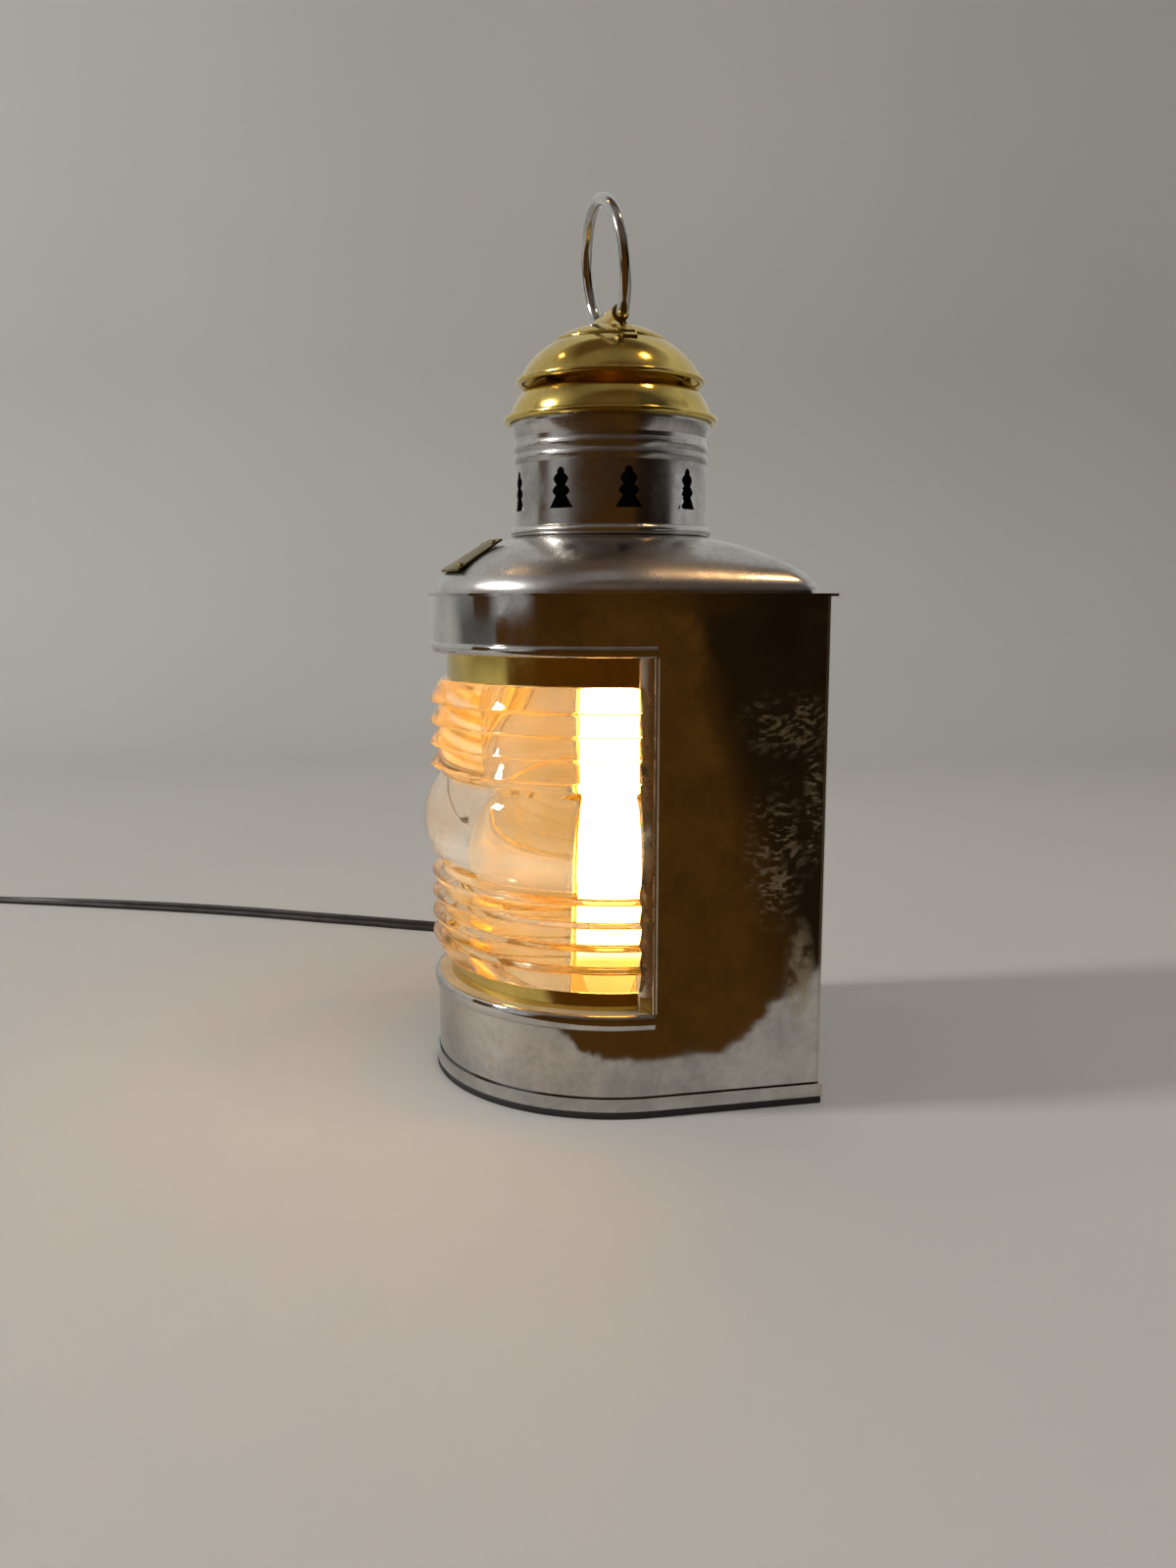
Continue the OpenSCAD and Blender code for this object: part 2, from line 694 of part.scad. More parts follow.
module bulb_filament() {
    stem_r = bulb_neck_r * 0.6;
    stem_h = bulb_neck_h + bulb_shoulder_h;
    wire = 0.8;
    wire_l = bulb_h * 0.45;
    bury = 1;
    color(STEEL) translate([0, 0, base_high - bulb_neck_h]) {
        cylinder(h = stem_h, r = stem_r);
        for (side = [-1, 1])
            translate([side * stem_r / 2, 0, stem_h - bury]) cylinder(h = wire_l, d = wire);
        translate([0, 0, stem_h + wire_l - bury]) rotate([90, 0, 0])
            rotate_extrude(angle = 180) translate([stem_r / 2, 0]) circle(d = wire);
    }
}

module inner_lead() {
    color(BLACK) tube(lead_line, [for (p = lead_line) 90], 8, cord_w, cord_t);
}

// Cord

module cord_bushing() {
    color(BLACK) translate([0, cord_y, cord_z]) rotate([0, -90, 0]) {
        translate([0, 0, collar_x]) cylinder(h = collar_t, d = bush_collar_d);
        translate([0, 0, collar_x]) cylinder(h = body_r - collar_x, d = bush_d);
        translate([0, 0, body_r]) cylinder(h = bush_l, d1 = bush_d, d2 = bush_tip_d);
    }
}

module lamp_cord() {
    color(BLACK) tube(cord_line, cord_rolls, 8, cord_w, cord_t);
}

module cord_coil() {
    color(BLACK) tube(coil_line, [for (p = coil_line) 0], 6, cord_w, cord_t);
}

module cord_tie() {
    inner = coil_radius(coil_turns / 2) - cord_w / 2 - tie_gap;
    outer = coil_r + cord_w / 2 + tie_gap;
    inside_h = layer_pitch + cord_t + 2 * tie_gap;
    color(BLACK) translate([coil_centre[0], coil_centre[1], 0])
        rotate([0, 0, coil_first + 90]) translate([inner, -tie_w / 2, 0]) difference() {
            translate([-tie_t, 0, 0]) cube([outer - inner + 2 * tie_t, tie_w, inside_h + 2 * tie_t]);
            translate([0, -1, tie_t]) cube([outer - inner, tie_w + 2, inside_h]);
        }
}

module at_plug() {
    translate([coil_exit[0], coil_exit[1], plug_axis_z])
        rotate([0, 0, atan2(coil_out[1], coil_out[0])]) children();
}

module plug_body() {
    grip_l = plug_l * 0.6;
    neck_half = cord_w / 2 + 2;
    color(BLACK) at_plug() linear_extrude(plug_h, center = true)
        polygon([[0, -neck_half], [plug_l - grip_l, -plug_w / 2], [plug_l, -plug_w / 2],
            [plug_l, plug_w / 2], [plug_l - grip_l, plug_w / 2], [0, neck_half]]);
}

module plug_blades() {
    spacing = 12.7;
    blade_w = 6.35;
    blade_t = 1.5;
    color(BRASS) at_plug() for (side = [-1, 1])
        translate([plug_l, side * spacing / 2 - blade_t / 2, -blade_w / 2])
            cube([blade_l, blade_t, blade_w]);
}

// Housing

module body_shell() {
    slot_w = bush_d + 2 * slot_gap;
    color(STEEL) difference() {
        translate([0, 0, floor_z]) linear_extrude(wall_h) difference() {
            plan(0);
            plan(-sheet);
        }
        translate([-body_r - 1, -body_r - 1, sill_z - sheet])
            cube([2 * body_r + 2, body_r + 1, window_h + 2 * sheet]);
        translate([-body_r - 1, cord_y - slot_w / 2, floor_z - 1])
            cube([sheet + 2, slot_w, cord_z - floor_z + 1]);
        translate([-body_r - 1, cord_y, cord_z])
            rotate([0, 90, 0]) cylinder(h = sheet + 2, d = slot_w);
    }
}

// A shelf that turns in from the wall's edge, with a half-round bead outside it
module window_edge(shelf_z, bead_low, bead_h, bead_out) {
    bead = [for (a = [-90 : 15 : 90])
        [body_r + bead_out * cos(a), bead_low + bead_h / 2 * (1 + sin(a))]];
    front_sweep(90) polygon(bead);
    front_sweep(90) polygon([[lens_in_r, shelf_z], [body_r, shelf_z],
        [body_r, shelf_z + sheet], [lens_in_r, shelf_z + sheet]]);
}

module window_sill() {
    color(STEEL) window_edge(sill_z - sheet, sill_z - sill_bead_h, sill_bead_h, sill_bead_out);
}

module window_head() {
    color(STEEL) window_edge(head_z, head_z, head_bead_h, head_bead_out);
}

// Corner points of a jamb on the port side, from the wall to the inside of the glass
function jamb_line() =
    let (e = heading(lens_half - 90))
    let (behind = [-e[1], e[0]] * glass_gap)
    [[body_r - sheet, jamb_leg], [body_r - sheet, 0], e * (band_r + brass) + behind,
        e * lens_in_r + behind];

module jamb_port() {
    color(STEEL) translate([0, 0, sill_z]) linear_extrude(window_h)
        polygon(strip(jamb_line(), sheet));
}

module jamb_starboard() {
    mirror([1, 0, 0]) jamb_port();
}

module lens() {
    ribs = [for (k = [0 : rib_n - 1], tip = [0, 1])
        let (h = belt_h / 2 + rib_first + k * rib_pitch)
        tip == 0 ? [valley_r, h - rib_rise] : [tip_r, h]];
    belt = [for (i = [-belt_steps : belt_steps])
        let (h = belt_h / 2 * i / belt_steps)
        [belt_r - belt_arc + sqrt(belt_arc * belt_arc - h * h), lens_mid + h]];
    outside = concat(
        [[lens_edge_r, lens_low], [lens_edge_r, rib_low], [valley_r, rib_low]],
        [for (p = reversed(ribs)) [p[0], lens_mid - p[1]]],
        belt,
        [for (p = ribs) [p[0], lens_mid + p[1]]],
        [[valley_r, rib_high], [lens_edge_r, rib_high], [lens_edge_r, lens_high]]);
    color(GLASS) front_sweep(lens_half)
        polygon(concat(outside, [[lens_in_r, lens_high], [lens_in_r, lens_low]]));
}

module lens_band(low, h) {
    color(BRASS) front_sweep(lens_half) translate([band_in_r, low]) square([brass, h]);
}

module lens_band_lower() {
    lens_band(sill_z, low_band_h);
}

module lens_band_upper() {
    lens_band(rib_high, high_band_h);
}

module lens_seal(low) {
    color(PUTTY) front_sweep(lens_half)
        translate([lens_in_r, low]) square([lens_edge_r - lens_in_r, seal_t]);
}

module lens_seal_lower() {
    lens_seal(sill_z);
}

module lens_seal_upper() {
    lens_seal(lens_high);
}

module band_tabs() {
    line = jamb_line();
    run = unit(line[2] - line[1]);
    face = [line[1] + run * brass, line[2] - run * brass];
    color(BRASS) for (side = [0, 1]) mirror([side, 0, 0])
        translate([0, 0, sill_z]) linear_extrude(tab_h) polygon(strip(face, -brass));
}

module top_plate() {
    color(STEEL) translate([0, 0, wall_top]) linear_extrude(plate_t) difference() {
        plan(plate_over);
        plan(-plate_hole_in, dome_corner - 3 * sheet);
    }
}

module shoulder_dome() {
    angles = [for (i = [0 : dome_levels]) 90 * i / dome_levels];
    outer = [for (a = angles) dome_ring(a, 0)];
    inner = [for (a = reversed(angles)) dome_ring(a, sheet)];
    rings = concat(outer, [flat_ring(dome_lip_r, neck_z), flat_ring(dome_lip_r, neck_z - sheet)],
        inner);
    color(STEEL) polyhedron([for (r = rings, p = r) p],
        [for (f = ring_faces(len(rings), dome_around, true)) reversed(f)]);
}

// The name plate's chord, clear of the dome all along it
name_ends = [dome_point(name_low_r), dome_point(name_high_r)];
name_out = right_of(name_ends[0], name_ends[1]);
name_lift = name_air + max([for (i = [0 : 10])
    (dome_point(name_low_r + (name_high_r - name_low_r) * i / 10) - name_ends[0]) * name_out]);
name_line = [for (p = name_ends) p + name_out * name_lift];
name_half = name_w / (name_low_r + name_high_r) * 180 / PI;

module name_plate() {
    color(BRASS) difference() {
        front_sweep(name_half) polygon(strip(name_line, name_t));
        name_rivet_seats() translate([0, 0, -2 * name_t])
            cylinder(h = 3 * name_t, d = name_rivet_d / 2 + 2 * bore_gap);
    }
}

// Places of the name plate's rivets, each square to the plate
module name_rivet_seats() {
    inset = name_rivet_d;
    slope = unit(name_ends[1] - name_ends[0]);
    for (side = [-1, 1], p = [name_line[0] + slope * inset, name_line[1] - slope * inset])
        let (seat = p + name_out * name_t)
        rotate([0, 0, -90 + side * (name_half - inset / p[0] * 180 / PI)])
            translate([seat[0], 0, seat[1]])
                rotate([0, atan2(name_out[0], name_out[1]), 0]) children();
}

module name_rivets() {
    color(BRASS) name_rivet_seats() rivet(name_rivet_d, name_rivet_d / 2, name_t + name_lift * 0.5);
}

module neck_ring() {
    bead = [for (a = [-90 : 15 : 90])
        [chimney_r + neck_out * cos(a), neck_z + neck_h / 2 * (1 + sin(a))]];
    color(STEEL) rotate_extrude() polygon(bead);
}

// Half of a vent's outline, as shares of its half width and its height
VENT = [[1, 0], [0.46, 0.3], [0.62, 0.34], [0.76, 0.41], [0.6, 0.5], [0.38, 0.56], [0.54, 0.63],
    [0.65, 0.71], [0.5, 0.79], [0.29, 0.85], [0.31, 0.91], [0.18, 0.97], [0, 1]];

module chimney() {
    steps = 6;
    ridges = [for (k = [0 : ridge_n - 1], i = [0 : steps - 1])
        [chimney_r + ridge_out * sin(180 * i / steps), neck_z + ridge_z + ridge_h * (k + i / steps)]];
    line = concat([[chimney_r, neck_z]], ridges, [[chimney_r, neck_z + ridge_z + ridge_h * ridge_n]],
        arc([chimney_r, seat_z - flare_h], [chimney_r + flare, seat_z - flare_h / 3], 0.2, 4),
        [[chimney_r + flare, seat_z]]);
    half = [for (p = VENT) [p[0] * vent_w / 2, p[1] * vent_h]];
    color(STEEL) difference() {
        rotate_extrude() polygon(strip(line, -sheet));
        for (k = [0 : vent_n - 1])
            rotate([0, 0, vent_turn + 360 * k / vent_n])
                translate([chimney_r - 4 * sheet, 0, neck_z + vent_z])
                    rotate([90, 0, 90]) linear_extrude(8 * sheet)
                        polygon(concat(half, [for (p = reversed(half)) [-p[0], p[1]]]));
    }
}

module inner_flue() {
    flange_r = chimney_r - sheet - flue_gap;
    color(STEEL) {
        rotate_extrude() translate([flue_r - sheet, neck_z])
            square([sheet, chimney_h + flue_up]);
        rotate_extrude() translate([flue_r - sheet, neck_z])
            square([flange_r - flue_r + sheet, sheet]);
    }
}

// Outer face of the skirt, from its seat to the smoke opening
skirt_foot_r = chimney_r + flare + brass / 2;
skirt_line = arc([skirt_foot_r, seat_z + brass], [skirt_hole_r, seat_z + skirt_h], skirt_bulge, 8);
// Outer face of the cap, from its rim to its crown
cap_line = concat(
    arc([cap_rim_r - cap_roll, cap_rim_z + cap_roll / 2], [step_r, step_z], cap_bulge, 8),
    arc([step_r, step_z + step_h], [crown_r, crown_z], crown_bulge, 6));

module rolled_rim(rim_r, roll, z) {
    rotate_extrude() translate([rim_r - roll, z]) circle(roll, $fn = 32);
}

module vent_skirt() {
    color(BRASS) {
        rotate_extrude() polygon(strip(skirt_line, -brass));
        rotate_extrude() translate([chimney_r - 2 * sheet, seat_z])
            square([skirt_rim_r - skirt_roll - chimney_r + 2 * sheet, brass]);
        rolled_rim(skirt_rim_r, skirt_roll, seat_z);
    }
}

module vent_cap() {
    under = beside(cap_line, -brass);
    color(BRASS) {
        rotate_extrude() polygon(concat(cap_line, [[0, crown_z], [0, crown_z - brass]],
            reversed(under)));
        rolled_rim(cap_rim_r, cap_roll, cap_rim_z);
    }
}

module cap_stays() {
    r = skirt_hole_r + 1.5 * brass;
    reach = norm([r + brass, stay_w / 2]);
    low = height_at(skirt_line, r);
    high = height_at(beside(cap_line, -brass), reach);
    color(BRASS) for (k = [0 : stay_n - 1]) rotate([0, 0, 360 * (k + 0.5) / stay_n])
        translate([r, -stay_w / 2, low]) cube([brass, stay_w, high - low]);
}

module at_lug() {
    rotate([0, 0, ring_turn]) children();
}

module ring_lug() {
    crown_part = [for (p = reversed(cap_line)) if (p[0] < tail_r) p];
    ends = [tail_r, height_at(cap_line, tail_r)];
    half_under = concat([[0, crown_z]], crown_part, [ends]);
    half_over = beside(half_under, -brass);
    saddle = concat(half_under, reversed(half_over));
    color(BRASS) at_lug() difference() {
        union() {
            for (side = [0, 1]) mirror([side, 0, 0]) {
                translate([0, tail_w / 2, 0]) rotate([90, 0, 0]) linear_extrude(tail_w) polygon(saddle);
                translate([0, foot_w / 2, 0]) rotate([90, 0, 0]) linear_extrude(foot_w)
                    intersection() {
                        polygon(saddle);
                        translate([tail_r - foot_l, 0]) square([2 * foot_l, 2 * crown_z]);
                    }
                translate([0, tail_w / 2, 0]) rotate([90, 0, 0]) linear_extrude(tail_w)
                    intersection() {
                        polygon(concat(half_under, [[tail_r, barrel_z], [0, barrel_z]]));
                        square([barrel_l / 2, 2 * crown_z]);
                    }
            }
            translate([-barrel_l / 2, 0, barrel_z]) rotate([0, 90, 0])
                cylinder(h = barrel_l, r = barrel_r);
        }
        translate([-barrel_l, 0, barrel_z]) rotate([0, 90, 0])
            cylinder(h = 2 * barrel_l, d = wire_d + 2 * ring_play);
    }
}

module carry_ring() {
    color(STEEL) at_lug() translate([0, 0, barrel_z]) rotate([ring_lean, 0, 0])
        translate([0, 0, ring_drop]) {
        rotate([90, 0, 0]) rotate([0, 0, run_a]) rotate_extrude(angle = 180 - 2 * run_a)
            translate([ring_r, 0]) circle(d = wire_d);
        translate([-run_half, 0, -ring_drop]) rotate([0, 90, 0])
            cylinder(h = 2 * run_half, d = wire_d);
        for (side = [-1, 1])
            translate([side * run_half, 0, -ring_drop]) sphere(d = wire_d + 2 * corner_swell);
    }
}

module mast_bracket() {
    half = pocket_w / 2;
    line = [[half + strap_flange, side_l + strap_t], [half + strap_t, side_l + strap_t],
        [half + strap_t, side_l + pocket_d + strap_t], [-half - strap_t, side_l + pocket_d + strap_t],
        [-half - strap_t, side_l + strap_t], [-half - strap_flange, side_l + strap_t]];
    color(STEEL) difference() {
        translate([0, 0, pocket_z]) linear_extrude(pocket_h) polygon(strip(line, -strap_t));
        strap_rivet_seats() translate([0, 0, -2 * strap_t])
            cylinder(h = 3 * strap_t, d = rivet_d / 2 + 2 * bore_gap);
    }
}

// Places of the bracket's rivets, on its flanges
module strap_rivet_seats() {
    x = pocket_w / 2 + strap_t + (strap_flange - strap_t) / 2;
    for (side = [-1, 1], z = [pocket_z + rivet_d, pocket_z + pocket_h - rivet_d])
        translate([side * x, side_l + strap_t, z]) rotate([-90, 0, 0]) children();
}

module bracket_rivets() {
    color(STEEL) strap_rivet_seats() rivet(rivet_d, rivet_d / 2, strap_t);
}

base_pad();
base_pan();
lamp_bracket();
bracket_screws();
socket_stud();
stud_nut();
socket_shell();
socket_liner();
bulb_base();
bulb_glass();
bulb_filament();
inner_lead();
cord_bushing();
lamp_cord();
cord_coil();
cord_tie();
plug_body();
plug_blades();
body_shell();
window_sill();
window_head();
jamb_port();
jamb_starboard();
lens();
lens_band_lower();
lens_band_upper();
lens_seal_lower();
lens_seal_upper();
band_tabs();
top_plate();
shoulder_dome();
name_plate();
name_rivets();
neck_ring();
chimney();
inner_flue();
vent_skirt();
vent_cap();
cap_stays();
ring_lug();
carry_ring();
mast_bracket();
bracket_rivets();
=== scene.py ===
"""Looks of a masthead lantern with a ribbed lens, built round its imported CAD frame."""

import math

import bmesh
import bpy
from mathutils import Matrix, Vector


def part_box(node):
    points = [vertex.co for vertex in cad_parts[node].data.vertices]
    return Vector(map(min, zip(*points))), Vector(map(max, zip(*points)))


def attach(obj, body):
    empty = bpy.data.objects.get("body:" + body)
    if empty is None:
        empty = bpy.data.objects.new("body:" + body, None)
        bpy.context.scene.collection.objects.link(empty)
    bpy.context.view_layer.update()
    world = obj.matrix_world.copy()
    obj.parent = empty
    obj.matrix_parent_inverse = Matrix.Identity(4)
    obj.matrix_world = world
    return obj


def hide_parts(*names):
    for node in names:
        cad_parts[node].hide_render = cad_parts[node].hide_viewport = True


bl_info = {
    "name": "Masthead lantern",
    "version": (1, 0, 0),
    "blender": (4, 5, 0),
    "location": "View3D > Sidebar > Lantern",
    "description": "Builds the visible pieces and finishes of a masthead lantern on its CAD frame",
    "category": "Object",
}

MM = 0.001

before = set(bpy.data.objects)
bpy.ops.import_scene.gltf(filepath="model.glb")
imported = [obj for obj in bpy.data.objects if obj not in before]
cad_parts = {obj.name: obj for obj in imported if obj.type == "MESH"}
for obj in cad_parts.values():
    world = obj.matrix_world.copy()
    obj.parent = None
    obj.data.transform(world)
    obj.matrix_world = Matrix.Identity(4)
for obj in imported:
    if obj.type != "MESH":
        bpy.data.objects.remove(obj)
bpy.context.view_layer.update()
X, Y, Z = range(3)


def lowest(node, axis):
    """Lowest reach of a CAD node along an axis, in millimetres."""
    return round(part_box(node)[0][axis] / MM, 3)


def highest(node, axis):
    """Highest reach of a CAD node along an axis, in millimetres."""
    return round(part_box(node)[1][axis] / MM, 3)


# Heights and radii that come from the frame, in millimetres
BODY_R = highest("body_shell", X)
SIDE_L = highest("body_shell", Y)
SILL_Z = highest("window_sill", Z)
HEAD_Z = lowest("window_head", Z)
DOME_Z = lowest("shoulder_dome", Z)
DOME_FOOT_R = highest("shoulder_dome", X)
DOME_NECK_R = highest("neck_ring", X)
NECK_Z = highest("shoulder_dome", Z)
SEAT_Z = highest("chimney", Z)
CAP_RIM_Z = highest("vent_skirt", Z)
CROWN_Z = highest("vent_cap", Z)
STAY_LOW_Z = lowest("cap_stays", Z)
STAY_HIGH_Z = highest("cap_stays", Z)

# Other sizes that several pieces share, in millimetres and degrees
SHEET = 0.8
BRASS = 0.8
BEAD_R = BODY_R - 0.01
LENS_IN_R = 54.5
LENS_HALF = 85.62
BELT_Z = 97.75
BELT_HALF = 17.35
JAMB_REACH = 63.3
DOME_H = NECK_Z - DOME_Z
DOME_ROUND = 0.6
DOME_CORNER = 8.0
CHIMNEY_R = 35.8
CHIMNEY_HOLE_R = 34.2
BARREL_Z = 282.96
RING_TURN = 3.0


# Plain geometry


def heading(angle):
    """Unit vector in plan at an angle in degrees."""
    return Vector((math.cos(math.radians(angle)), math.sin(math.radians(angle))))


def arc(start, end, bulge, steps):
    """Points from start to end on an arc that bulges to its right."""
    start, end = Vector(start), Vector(end)
    chord = end - start
    half = 2 * math.atan(2 * bulge / chord.length)
    radius = chord.length / 2 / math.sin(half)
    along = chord.normalized()
    right = Vector((along.y, -along.x))
    points = []
    for i in range(steps + 1):
        a = half * (2 * i / steps - 1)
        out = radius * (math.cos(a) - math.cos(half))
        points.append((start + end) / 2 + along * radius * math.sin(a) + right * out)
    return points


def beside(points, distance):
    """A line of points moved to its right by a distance, with mitred corners."""
    moved = []
    last = len(points) - 1
    for i, point in enumerate(points):
        before = (points[max(i, 1)] - points[max(i, 1) - 1]).normalized()
        after = (points[min(i + 1, last)] - points[min(i + 1, last) - 1]).normalized()
        n1 = Vector((before.y, -before.x))
        n2 = Vector((after.y, -after.x))
        moved.append(point + distance * (n1 + n2) / (1 + n1.dot(n2)))
    return moved


def strip(points, thickness):
    """Closed outline of a sheet with one face along a line of points."""
    points = [Vector(p) for p in points]
    return points + beside(points, thickness)[::-1]


def oblong(left, low, right, high):
    """Closed outline with four square corners."""
    return [(left, low), (right, low), (right, high), (left, high)]


def rounded(points, radius, steps=4, most=0.45):
    """A closed outline with its corners rounded, each over at most a share of its edges."""
    points = [Vector(p) for p in points]
    smooth = []
    for i, corner in enumerate(points):
        back = points[i - 1] - corner
        on = points[(i + 1) % len(points)] - corner
        reach = min(radius, back.length * most, on.length * most)
        first = corner + back.normalized() * reach
        last = corner + on.normalized() * reach
        for k in range(steps + 1):
            t = k / steps
            smooth.append(first * (1 - t) ** 2 + corner * 2 * t * (1 - t) + last * t * t)
    return smooth


def bead(low, height, radius, out, steps=16):
    """Half-round bead on a wall, as radius and height."""
    points = []
    for i in range(steps + 1):
        a = math.pi * (i / steps - 0.5)
        points.append((radius + out * math.cos(a), low + height / 2 * (1 + math.sin(a))))
    return points


def circle(centre, radius, steps=24):
    """Closed round outline."""
    return [Vector(centre) + radius * heading(360 * i / steps) for i in range(steps)]


def smooth_line(points, steps):
    """Points on a smooth line through points of any size."""
    points = [Vector(p) for p in points]
    ends = [2 * points[0] - points[1], *points, 2 * points[-1] - points[-2]]
    line = []
    for i in range(1, len(points)):
        a, b, c, d = ends[i - 1 : i + 3]
        for k in range(steps):
            t = k / steps
            square = (2 * a - 5 * b + 4 * c - d) * t * t
            cube = (3 * b - a - 3 * c + d) * t ** 3
            line.append(0.5 * (2 * b + (c - a) * t + square + cube))
    line.append(points[-1])
    return line


def plan_outline(grow, corner, steps=128):
    """The body's outline in plan, grown by a distance, with round back corners."""
    r, back = BODY_R + grow, SIDE_L + grow
    points = [r * heading(180 + 180 * i / steps) for i in range(steps + 1)]
    for side, first in ((1, 0), (-1, 90)):
        centre = Vector((side * (r - corner), back - corner))
        points += [centre + corner * heading(first + turn) for turn in range(0, 91, 15)]
    return points


def plan_reach(angle, grow, corner):
    """Distance from the axis to the body's outline in a direction, with round back corners."""
    r, back = BODY_R + grow, SIDE_L + grow
    u = heading(angle)
    u.x = abs(u.x)
    if u.y <= 0:
        return r
    straight = min(r / max(u.x, 1e-4), back / max(u.y, 1e-4))
    centre = Vector((r - corner, back - corner))
    spot = u * straight
    if spot.x > centre.x and spot.y > centre.y:
        along = centre.dot(u)
        return along + math.sqrt(along * along - centre.length_squared + corner * corner)
    return straight


def dome_rise(a):
    """Height on the dome, from 0 at its foot to a quarter turn at its neck."""
    return DOME_H * (DOME_ROUND * math.sin(a) + (1 - DOME_ROUND) * (1 - math.cos(a)))


def dome_front(radius):
    """Radius and height on the dome's front."""
    share = (radius - DOME_NECK_R) / (DOME_FOOT_R - DOME_NECK_R)
    return radius, DOME_Z + dome_rise(math.acos(share))


# Meshes


def new_mesh(name, points, edges, faces):
    """A mesh from points in millimetres."""
    mesh = bpy.data.meshes.new(name)
    mesh.from_pydata([[c * MM for c in p] for p in points], edges, faces)
    return mesh


def cleaned(mesh, sharp):
    """Joins what meets in a mesh, turns its faces outward and shades it smooth up to a sharp angle."""
    shape = bmesh.new()
    shape.from_mesh(mesh)
    bmesh.ops.remove_doubles(shape, verts=shape.verts, dist=1e-7)
    bmesh.ops.dissolve_degenerate(shape, edges=shape.edges, dist=1e-8)
    bmesh.ops.recalc_face_normals(shape, faces=shape.faces)
    shape.to_mesh(mesh)
    shape.free()
    mesh.shade_smooth()
    mesh.set_sharp_from_angle(angle=math.radians(sharp))


def shown(name, data):
    """A new object in the scene with a mesh, a camera or a light."""
    obj = bpy.data.objects.new(name, data)
    bpy.context.scene.collection.objects.link(obj)
    return obj


def piece(name, points, faces, sharp=35):
    """A mesh object from points in millimetres, shaded smooth up to a sharp angle."""
    mesh = new_mesh(name, points, [], faces)
    cleaned(mesh, sharp)
    return shown(name, mesh)


def loose(name, points, edges=(), **vectors):
    """Points in millimetres without faces, each with its vectors."""
    mesh = new_mesh(name, points, edges, [])
    for key, values in vectors.items():
        attribute = mesh.attributes.new(key, "FLOAT_VECTOR", "POINT")
        for item, value in zip(attribute.data, values):
            item.vector = value
    return shown(name, mesh)


def joined(parts):
    """Points and faces of several meshes as one."""
    points, faces = [], []
    for more_points, more_faces in parts:
        first = len(points)
        points += more_points
        faces += [[first + i for i in face] for face in more_faces]
    return points, faces


def bridged(rings, closed=False):
    """Points and faces over rows of points, each a closed outline: a closed loop, or filled ends."""
    size = len(rings[0])
    points = [p for ring in rings for p in ring]
    faces = []
    for i in range(len(rings) if closed else len(rings) - 1):
        a, b = i * size, (i + 1) % len(rings) * size
        for j in range(size):
            k = (j + 1) % size
            faces.append((a + j, b + j, b + k, a + k))
    if not closed:
        faces.append(tuple(range(size)))
        faces.append(tuple(reversed(range(len(points) - size, len(points)))))
    return points, faces


def merged(parts):
    """Several pieces as one, under the first one's name."""
    shape = bmesh.new()
    for part in parts:
        shape.from_mesh(part.data)
    shape.to_mesh(parts[0].data)
    shape.free()
    for part in parts[1:]:
        bpy.data.meshes.remove(part.data)
    return parts[0]


def place(obj, body, material, slot, *nodes):
    """Gives a piece its body and material, in place of CAD nodes."""
    obj.data.materials.clear()
    obj.data.materials.append(material)
    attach(obj, body)
    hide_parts(*nodes)


# Node trees


def numbered(values):
    """Values by the number of the input that each goes into."""
    return {f"_{i}": value for i, value in enumerate(values)}


